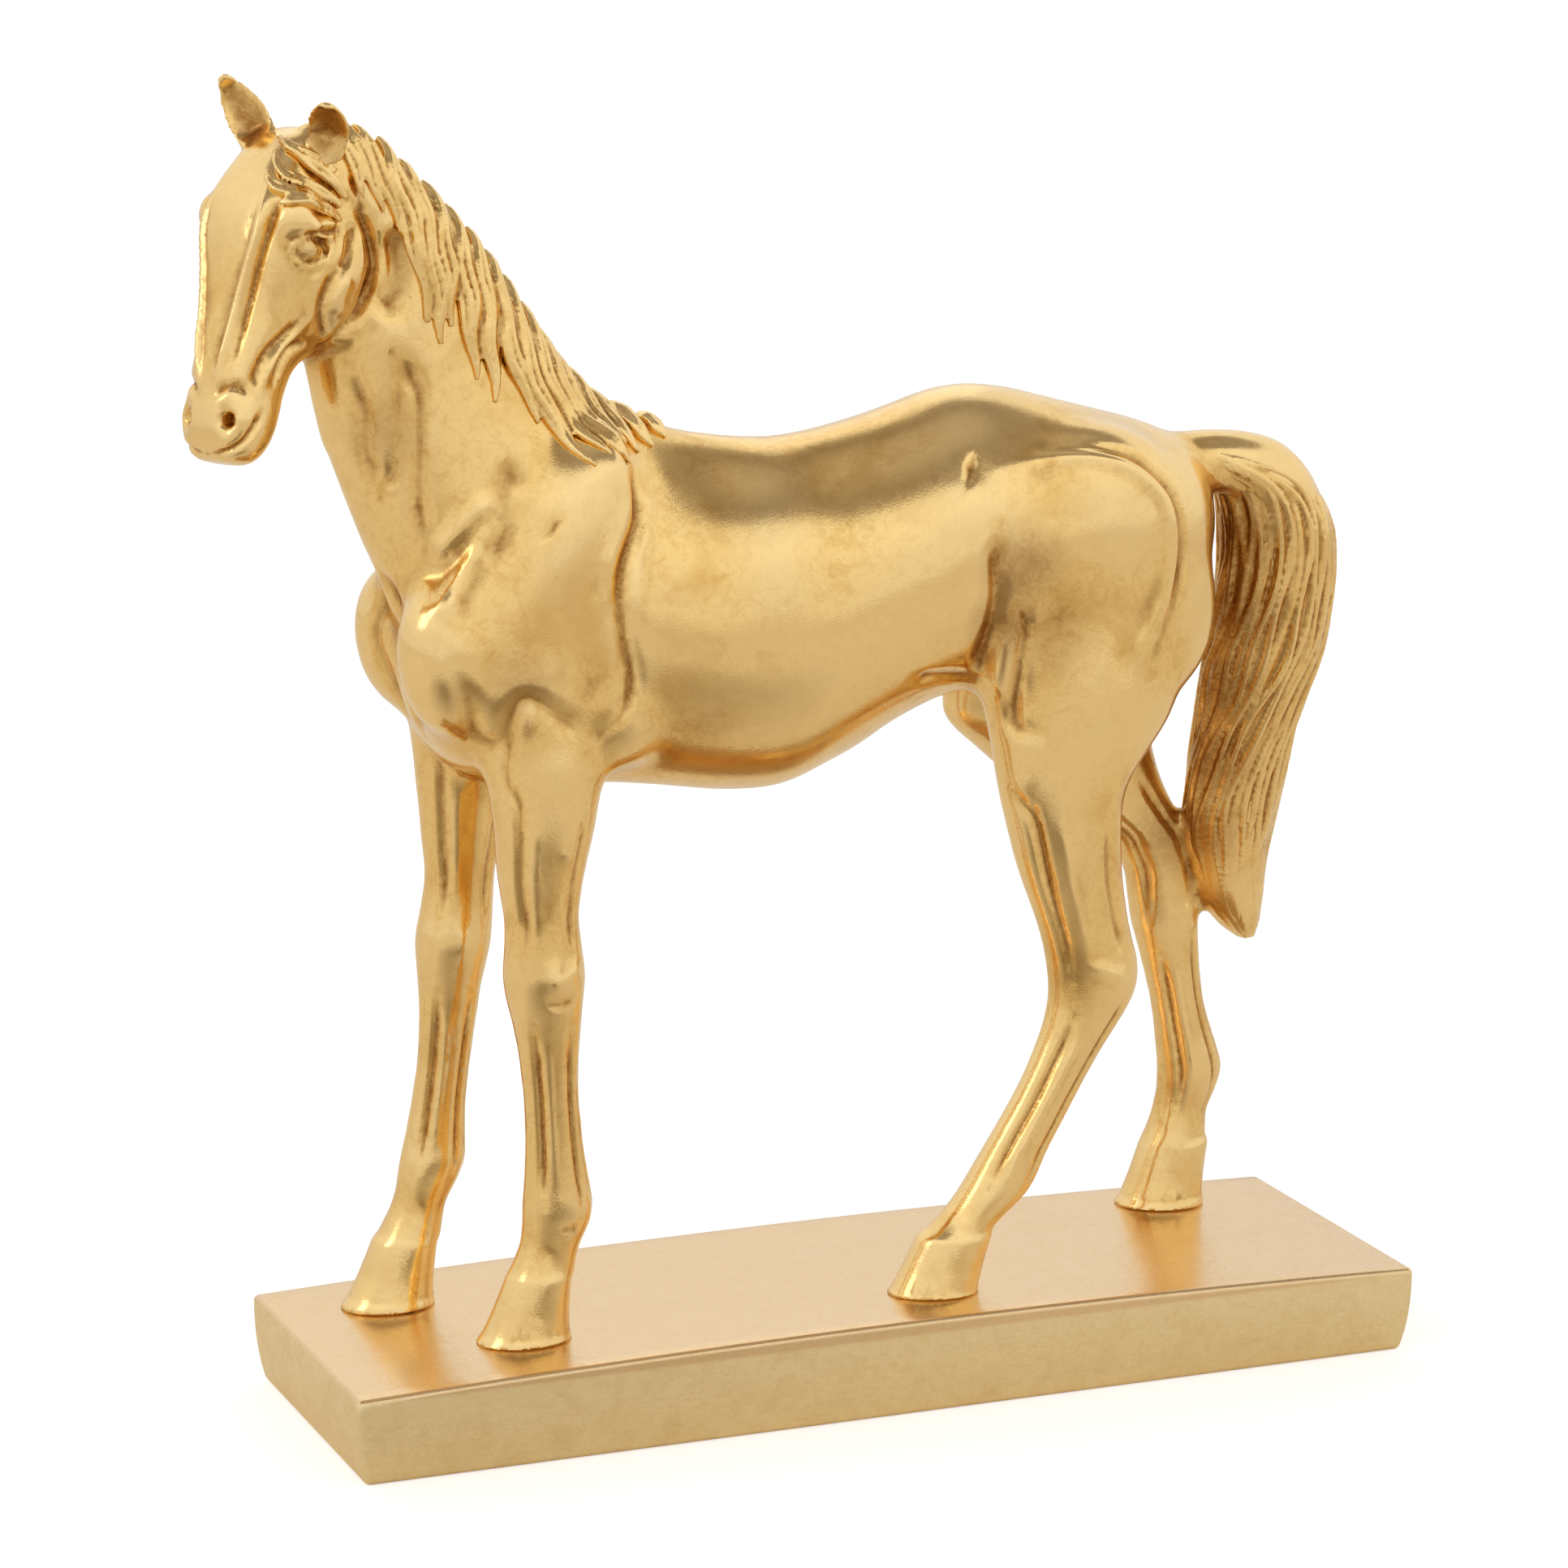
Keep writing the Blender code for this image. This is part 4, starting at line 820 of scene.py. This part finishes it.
def faceLines(tree):
    lines = []
    for side in (-1, 1):
        for depth, width, points in head["sideLines"]:
            spots = [tuple(onCheek(tree, *row, side)[0]) for row in smoothRows(points, 3)]
            lines.append((depth, width, spots))
        for depth, width, points in head["grooves"]:
            spots = [onSkin(tree, down, out, left * side) for down, out, left in points]
            lines.append((depth, width, spots))
    for depth, width, points in head["oneSide"]:
        lines.append((depth, width, [onSkin(tree, *place) for place in points]))
    return lines


def countTriangles(piece):
    return sum(len(face.vertices) - 2 for face in piece.data.polygons)


def thinOut(piece, triangles):
    count = countTriangles(piece)
    if count > triangles:
        thin = piece.modifiers.new("fewer faces", "DECIMATE")
        thin.ratio = triangles / count
        applyAll(piece)


def finishCasting(piece, gain):
    markShadeAndRidges(piece, gain)
    piece.data.transform(Matrix.Translation(figure["stance"]) @ Matrix.Scale(figure["unit"], 4))
    piece.data.shade_smooth()
    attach(piece, "root")
    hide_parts("horse")
    print(piece.name, "has", countTriangles(piece), "triangles")


# Plinth: crowned top, sides drawn in at the foot
plinth = {
    "length": 0.24476,
    "width": 0.07776,
    "height": 0.0192,
    "crown": 0.0023,
    "draft": 0.0020,
    "draftPower": 2.6,
    "edgeRound": 0.0015,
    "cuts": 15,
}


def plinthTop(x):
    return plinth["height"] + plinth["crown"] * (1 - (2 * x / plinth["length"]) ** 2)


def cutSoles(piece):
    # each hoof is cut flat, level with the plinth's top under it and a gap above
    body = bmesh.new()
    body.from_mesh(piece.data)
    unit = figure["unit"]
    for _, _, _, toe, heel, sideways in hooves["rows"]:
        middle = figure["stance"].x + (toe + heel) / 2 * unit
        across = figure["stance"].y + sideways * unit
        reach = (heel - toe) * unit
        level = plinthTop(middle) + figure["hoofGap"]
        fall = 8 * plinth["crown"] * middle / plinth["length"] ** 2
        near = [face for face in body.faces
                if (face.calc_center_median() - Vector((middle, across, level))).length < reach]
        part = set(near)
        for face in near:
            part.update(face.edges, face.verts)
        cut = bmesh.ops.bisect_plane(body, geom=list(part), plane_co=(middle, across, level),
                                     plane_no=(-fall, 0, -1), clear_outer=True)
        rim = [item for item in cut["geom_cut"] if isinstance(item, bmesh.types.BMEdge)]
        bmesh.ops.holes_fill(body, edges=rim, sides=0)
    bmesh.ops.triangulate(body, faces=[face for face in body.faces if len(face.verts) > 3])
    body.to_mesh(piece.data)
    body.free()


def markShadeAndRidges(piece, gain):
    # how deep each point lies below its smoothed surroundings, at three scales, kept as painted shade for the
    # recesses; how far it stands above the smoothest of them marks the ridges
    pairs = edgePairs(piece)
    start = readPoints(piece)
    normals = readPoints(piece, "normal")
    places = start
    hollow = np.zeros(len(start))
    for turns, reach in ((4, 0.14 / gain), (16, 0.45 / gain), (60, 1.6 / gain)):
        places = relax(places, pairs, 0.6, turns)
        depth = np.einsum("ij,ij->i", places - start, normals)
        hollow = np.maximum(hollow, depth / reach) if turns > 4 else depth / reach
    hollow = np.clip(hollow, 0, 1)
    ridge = np.clip(-np.einsum("ij,ij->i", places - start, normals) / 0.9, 0, 1)
    onHead = [(tuple(headPoint(*place)), reach, strength) for place, reach, strength in patinaAndShadeSpots["head"]]
    # painted shade and patina: the darker spots are laid over the recesses
    for place, reach, strength in patinaAndShadeSpots["grid"] + onHead:
        away = np.linalg.norm(start - np.array(place), axis=1) / reach
        hollow = np.maximum(hollow, strength * np.clip(1.3 - away, 0, 1))
    # hollow: painted shade of the recesses and the darker spots; ridge: how far each point stands out
    for name, values in (("hollow", hollow), ("ridge", ridge)):
        field = piece.data.attributes.new(name, "FLOAT", "POINT")
        field.data.foreach_set("value", values.astype(np.float32))


print("casting the body")
rough = castSkin("rough", addBody, figure["roughGrain"])
soften(rough, 0.5, 34, blendWeight)
tree = skinTree(rough)
sockets = [(depth, width, [tuple(onCheek(tree, *place, side)[0]) for place in points])
           for depth, width, points in head["socket"] for side in (-1, 1)]
pressLines(rough, sockets)
tree = skinTree(rough)

print("adding the face, ears and hooves")
horse = castSkin("horse_cast", lambda body: addDetails(body, tree), figure["fineGrain"], rough)
bpy.data.objects.remove(rough)

print("pressing muscles, tendons and the face")
deeper, wider = muscleGain
muscleEdges = [(depth * deeper, width * wider, points) for depth, width, points in muscleLines]
pressLines(horse, bothSides(muscleEdges))
pressLines(horse, legLines + tendonLines())
soften(horse, 0.5, 5, softShare)
pressLines(horse, faceLines(tree))
soften(horse, 0.4, 1)

print("combing the mane, the forelock and the tail")
maneHair = castSkin("mane_hair", lambda body: (addMane(body, tree), addForelock(body, tree)), mane["grain"])
tailHair = castSkin("tail_hair", addTailHair, tail["grain"])
for hair, sizes in ((maneHair, mane), (tailHair, tail)):
    soften(hair, 0.4, 1)
    thinOut(hair, sizes["triangles"])
thinOut(horse, figure["triangles"])

for piece, gain in ((horse, 1.0), (maneHair, 1.8), (tailHair, 1.6)):
    finishCasting(piece, gain)
cutSoles(horse)


def makePlinth():
    bpy.ops.object.select_all(action="DESELECT")
    bpy.ops.mesh.primitive_cube_add(size=2, location=(0, 0, 0))
    block = bpy.context.active_object
    block.name = "plinth_block"
    bpy.ops.object.mode_set(mode="EDIT")
    bpy.ops.mesh.select_all(action="SELECT")
    bpy.ops.mesh.subdivide(number_cuts=plinth["cuts"])
    bpy.ops.object.mode_set(mode="OBJECT")
    for vertex in block.data.vertices:
        rise = (vertex.co.z + 1) / 2
        inset = plinth["draft"] * (1 - rise) ** plinth["draftPower"]
        vertex.co.x *= plinth["length"] / 2 - inset
        vertex.co.y *= plinth["width"] / 2 - inset
        vertex.co.z = plinthTop(vertex.co.x) * rise
    rounding = block.modifiers.new("rounded edges", "BEVEL")
    rounding.width = plinth["edgeRound"]
    rounding.segments = 5
    rounding.limit_method = "ANGLE"
    rounding.angle_limit = math.radians(40)
    applyAll(block)
    bpy.ops.object.shade_smooth_by_angle(angle=math.radians(35))
    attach(block, "root")
    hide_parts("plinth")
    return block


print("making the plinth")
block = makePlinth()


# Finish

def addNode(tree, kind, **values):
    node = tree.nodes.new(kind)
    for name, value in values.items():
        setattr(node, name, value)
    return node


def feed(tree, node, values):
    # outputs are linked to the sockets, numbers and colours are set on them
    for name, value in values.items():
        if isinstance(value, bpy.types.NodeSocket):
            tree.links.new(value, node.inputs[name])
        else:
            node.inputs[name].default_value = value
    return node


def noiseNode(tree, vector, scale, detail, roughness, distortion):
    node = addNode(tree, "ShaderNodeTexNoise")
    feed(tree, node, {"Vector": vector, "Scale": scale, "Detail": detail, "Roughness": roughness,
                      "Distortion": distortion})
    return node.outputs["Fac"]


def mathNode(tree, operation, first, second, clamp=False):
    node = addNode(tree, "ShaderNodeMath", operation=operation, use_clamp=clamp)
    return feed(tree, node, {0: first, 1: second}).outputs[0]


def rangeNode(tree, value, fromLow, fromHigh, toLow, toHigh):
    node = addNode(tree, "ShaderNodeMapRange")
    feed(tree, node, {"Value": value, "From Min": fromLow, "From Max": fromHigh, "To Min": toLow,
                      "To Max": toHigh})
    return node.outputs["Result"]


def mixNode(tree, share, first, second):
    node = addNode(tree, "ShaderNodeMix", data_type="RGBA")
    first, second = [(*tone, 1) if isinstance(tone, tuple) else tone for tone in (first, second)]
    return feed(tree, node, {0: share, 6: first, 7: second}).outputs[2]


def toneIn(tree, mask, low, high, share, colour, tone):
    # the tone comes in where the mask rises from low to high
    return mixNode(tree, rangeNode(tree, mask, low, high, 0, share), colour, tone)


def buildRubbedGroup():
    # rubbed metallic coat: cloudy tone, swirling brush marks and fine grain
    group = bpy.data.node_groups.new("rubbedCoat", "ShaderNodeTree")
    group.interface.new_socket("Vector", in_out="INPUT", socket_type="NodeSocketVector")
    for name in ("Cloud Scale", "Brush Scale", "Grain Scale"):
        group.interface.new_socket(name, in_out="INPUT", socket_type="NodeSocketFloat")
    for name in ("Cloud", "Brush", "Grain", "Height"):
        group.interface.new_socket(name, in_out="OUTPUT", socket_type="NodeSocketFloat")
    enter = addNode(group, "NodeGroupInput").outputs
    outs = {}
    for name, detail, distortion in (("Cloud", 3, 0.6), ("Brush", 2, 1.6), ("Grain", 2, 0.0)):
        outs[name] = noiseNode(group, enter["Vector"], enter[name + " Scale"], detail, 0.5, distortion)
    outs["Height"] = mathNode(group, "ADD", mathNode(group, "MULTIPLY", outs["Brush"], 0.7), outs["Grain"])
    feed(group, addNode(group, "NodeGroupOutput"), outs)
    return group


def useGroup(tree, group, vector, scales):
    return feed(tree, addNode(tree, "ShaderNodeGroup", node_tree=group), {"Vector": vector, **scales}).outputs


def newMaterial(name):
    material = bpy.data.materials.new(name)
    material.use_nodes = True
    return material, material.node_tree, material.node_tree.nodes["Principled BSDF"]


def finishMetal(tree, shader, colour, rough, height, distance):
    bump = feed(tree, addNode(tree, "ShaderNodeBump"), {"Distance": distance, "Height": height})
    feed(tree, shader, {"Base Color": colour, "Roughness": rough, "Metallic": 1.0,
                        "Normal": bump.outputs["Normal"]})


horseGold = {
    "bright": (0.92, 0.635, 0.245),
    "deep": (0.72, 0.43, 0.125),
    # painted shade: the dark orange-brown of the recesses and the darker spots, also the tone of the fine
    # specks
    "shadeAndSpecks": (0.30, 0.115, 0.018),
    # lighter, paler gold laid on the ridges
    "ridgeTone": (0.96, 0.71, 0.33),
    # where each mask begins and ends, and its share
    "brushMarks": (0.5, 0.66, 0.3),
    "ridgeRise": (0.1, 0.9, 0.7),
    "specks": (0.6, 0.75, 0.12),
    "roughness": (0.10, 0.20),
    "bump": 0.00002,
    "scales": {"Cloud Scale": 55, "Brush Scale": 480, "Grain Scale": 2400},
}
plinthGold = {
    # painted light: the top and the sides are painted in two tones of the one gold for how the light falls
    # and mirrors on each, the sides brighter
    "top": (0.83, 0.60, 0.34),
    "side": (0.94, 0.77, 0.44),
    "deep": (0.74, 0.52, 0.21),
    "brushMarks": (0.42, 0.66, 0.22),
    "clouds": (0.45, 0.7, 0.25),
    "scratches": (0.5, 0.75, 0.3),
    "roughTop": (0.20, 0.30),
    "roughSide": (0.36, 0.48),
    "bump": 0.000012,
    "stretch": 0.12,  # how far the brushing is drawn out along the plinth
    "scales": {"Cloud Scale": 160, "Brush Scale": 600, "Grain Scale": 3000},
}

rubbedCoat = buildRubbedGroup()


def makeHorseGold():
    material, tree, shader = newMaterial("antiqueHorseGold")
    place = addNode(tree, "ShaderNodeTexCoord").outputs["Object"]
    coat = useGroup(tree, rubbedCoat, place, horseGold["scales"])
    hollow = addNode(tree, "ShaderNodeAttribute", attribute_name="hollow").outputs["Fac"]
    ridge = addNode(tree, "ShaderNodeAttribute", attribute_name="ridge").outputs["Fac"]
    mottle = noiseNode(tree, place, 190, 4, 0.6, 1.2)
    tone = mathNode(tree, "MULTIPLY", rangeNode(tree, coat["Cloud"], 0.3, 0.5, 0.35, 1),
                    rangeNode(tree, mottle, 0.3, 0.5, 0.35, 1))
    colour = mixNode(tree, tone, horseGold["deep"], horseGold["bright"])
    colour = toneIn(tree, coat["Brush"], *horseGold["brushMarks"], colour, horseGold["deep"])
    # lighter, paler gold on the ridges
    colour = toneIn(tree, ridge, *horseGold["ridgeRise"], colour, horseGold["ridgeTone"])
    # painted shade: the coat darkens towards the dark orange-brown in the recesses and the darker spots,
    # broken a little by the brush marks
    recessShadeAndPatina = mathNode(tree, "MULTIPLY", rangeNode(tree, hollow, 0.15, 1.0, 0, 0.92),
                     rangeNode(tree, coat["Brush"], 0.35, 0.6, 0.75, 1.0), True)
    colour = mixNode(tree, recessShadeAndPatina, colour, horseGold["shadeAndSpecks"])
    colour = toneIn(tree, coat["Grain"], *horseGold["specks"], colour, horseGold["shadeAndSpecks"])
    rough = mathNode(tree, "ADD", rangeNode(tree, coat["Brush"], 0.35, 0.65, *horseGold["roughness"]),
                     rangeNode(tree, hollow, 0.2, 0.9, 0, 0.18))
    finishMetal(tree, shader, colour, rough, coat["Height"], horseGold["bump"])
    return material


def makePlinthGold():
    material, tree, shader = newMaterial("brushedPlinthGold")
    place = addNode(tree, "ShaderNodeTexCoord").outputs["Object"]
    drawn = addNode(tree, "ShaderNodeMapping")
    feed(tree, drawn, {"Vector": place, "Scale": (plinthGold["stretch"], 1, 1)})
    coat = useGroup(tree, rubbedCoat, place, plinthGold["scales"])
    brushed = noiseNode(tree, drawn.outputs["Vector"], 2600, 2, 0.55, 0.0)
    height = feed(tree, addNode(tree, "ShaderNodeSeparateXYZ"), {0: place}).outputs["Z"]
    onTop = rangeNode(tree, height, plinth["height"] - 0.0012, plinth["height"] - 0.0004, 0, 1)
    # painted light: the top and the sides each get their own tone of the gold
    tone = mixNode(tree, onTop, plinthGold["side"], plinthGold["top"])
    colour = toneIn(tree, coat["Brush"], *plinthGold["brushMarks"], tone, plinthGold["deep"])
    colour = toneIn(tree, coat["Cloud"], *plinthGold["clouds"], colour, plinthGold["deep"])
    colour = toneIn(tree, brushed, *plinthGold["scratches"], colour, plinthGold["deep"])
    side = rangeNode(tree, coat["Brush"], 0.35, 0.65, *plinthGold["roughSide"])
    top = rangeNode(tree, coat["Brush"], 0.35, 0.65, *plinthGold["roughTop"])
    rough = mathNode(tree, "ADD", mathNode(tree, "MULTIPLY", top, onTop),
                     mathNode(tree, "MULTIPLY", side, mathNode(tree, "SUBTRACT", 1.0, onTop)))
    height = mathNode(tree, "ADD", brushed, coat["Height"])
    finishMetal(tree, shader, colour, rough, height, plinthGold["bump"])
    return material


print("mixing the gold coats")
castGold = makeHorseGold()
for piece in (horse, maneHair, tailHair):
    piece.data.materials.clear()
    piece.data.materials.append(castGold)
block.data.materials.clear()
block.data.materials.append(makePlinthGold())


# Studio: floor, sky dome, soft boxes and camera

studio = {
    "floorSize": 16.0,
    "floorTone": 0.8,
    "floorGlow": 0.5,  # lifts the floor to a plain white where the camera sees it
    "cameraPlace": (-0.42827, -1.04424, 0.38192),
    "cameraTurn": -21.70,
    "cameraDip": 12.514,
    "lens": 122.98,
    # soft boxes: azimuth from the near side, elevation, distance, size, watts
    "boxes": [
        (-80, 30, 1.5, 0.5, 0.8),
        (165, 35, 1.8, 0.9, 0.5),
    ],
    "shadePlace": (-0.12, -0.27, 0),  # middle of the darker floor that the coat mirrors
    "shadeReach": (0.06, 0.25),
    "shade": (0.40, 0.335, 0.25),
    "pale": (0.94, 0.885, 0.80),
    # what the coat mirrors, from level to straight up, towards the camera and behind
    "sky": {
        "front": [(0, 0.84), (0.35, 0.92), (0.6, 1.04), (0.775, 1), (0.83, 0.4), (0.9, 0.34), (1, 0.52)],
        "back": [(0, 0.82), (0.4, 0.96), (0.775, 0.95), (0.83, 0.42), (0.92, 0.32), (1, 0.5)],
    },
    "skyTilt": 0.12,
}


def makeFloor():
    bpy.ops.object.select_all(action="DESELECT")
    bpy.ops.mesh.primitive_plane_add(size=studio["floorSize"], location=(0, 0, 0))
    floor = bpy.context.active_object
    floor.name = "studio_floor"
    material, tree, shader = newMaterial("paleFloor")
    seen = addNode(tree, "ShaderNodeLightPath").outputs["Is Camera Ray"]
    away = addNode(tree, "ShaderNodeVectorMath", operation="DISTANCE")
    feed(tree, away, {0: addNode(tree, "ShaderNodeTexCoord").outputs["Object"], 1: studio["shadePlace"]})
    far = rangeNode(tree, away.outputs["Value"], *studio["shadeReach"], 0, 1)
    mirrored = mixNode(tree, far, studio["shade"], studio["pale"])
    feed(tree, shader, {
        "Base Color": mixNode(tree, seen, mirrored, (studio["floorTone"],) * 3),
        "Roughness": 0.9,
        "Emission Color": (1, 1, 1, 1),
        "Emission Strength": mathNode(tree, "MULTIPLY", seen, studio["floorGlow"]),
    })
    floor.data.materials.append(material)


def makeSky():
    world = bpy.data.worlds.new("studioSky")
    bpy.context.scene.world = world
    world.use_nodes = True
    tree = world.node_tree
    tree.nodes.clear()
    way = addNode(tree, "ShaderNodeTexCoord").outputs["Generated"]
    x, y, z = feed(tree, addNode(tree, "ShaderNodeSeparateXYZ"), {0: way}).outputs
    turn = math.radians(studio["cameraTurn"])
    toCamera = mathNode(tree, "ADD", mathNode(tree, "MULTIPLY", x, math.sin(turn)),
                        mathNode(tree, "MULTIPLY", y, -math.cos(turn)))
    toRight = mathNode(tree, "ADD", mathNode(tree, "MULTIPLY", x, math.cos(turn)),
                       mathNode(tree, "MULTIPLY", y, math.sin(turn)))
    level = mathNode(tree, "ADD", z, mathNode(tree, "MULTIPLY", toRight, studio["skyTilt"]))
    ramps = {}
    for name, places in studio["sky"].items():
        ramp = ramps[name] = addNode(tree, "ShaderNodeValToRGB")
        points = ramp.color_ramp.elements
        points[0].position, points[1].position = places[0][0], places[-1][0]
        for place, _ in places[1:-1]:
            points.new(place)
        for stop, (_, tone) in zip(points, places):
            stop.color = (tone, tone * (0.82 + 0.18 * min(1, tone)), tone * (0.7 + 0.3 * min(1, tone)), 1)
        tree.links.new(level, ramp.inputs["Fac"])
    side = rangeNode(tree, toCamera, -0.35, 0.45, 0, 1)
    shade = mixNode(tree, side, ramps["back"].outputs["Color"], ramps["front"].outputs["Color"])
    seen = addNode(tree, "ShaderNodeLightPath").outputs["Is Camera Ray"]
    colour = mixNode(tree, seen, shade, (1.0, 1.0, 1.0))
    background = feed(tree, addNode(tree, "ShaderNodeBackground"), {"Color": colour})
    feed(tree, addNode(tree, "ShaderNodeOutputWorld"), {"Surface": background.outputs[0]})


def addSoftBox(azimuth, elevation, distance, size, watts):
    a, e = math.radians(azimuth), math.radians(elevation)
    way = Vector((math.sin(a) * math.cos(e), -math.cos(a) * math.cos(e), math.sin(e)))
    light = bpy.data.lights.new("softBox", "AREA")
    light.shape = "SQUARE"
    light.size = size
    light.energy = watts
    lamp = bpy.data.objects.new("softBox", light)
    lamp.location = Vector((0, 0, 0.12)) + way * distance
    lamp.rotation_euler = way.to_track_quat("Z", "Y").to_euler()
    bpy.context.scene.collection.objects.link(lamp)


print("setting up the studio")
makeFloor()
makeSky()
for box in studio["boxes"]:
    addSoftBox(*box)
camera = bpy.data.objects.new("camera", bpy.data.cameras.new("camera"))
camera.data.lens = studio["lens"]
camera.data.sensor_width = 36
camera.location = studio["cameraPlace"]
camera.rotation_euler = (math.radians(90 - studio["cameraDip"]), 0, math.radians(studio["cameraTurn"]))
bpy.context.scene.collection.objects.link(camera)
bpy.context.scene.camera = camera
bpy.context.scene.view_settings.view_transform = "Standard"

bpy.context.view_layer.update()
print("done")
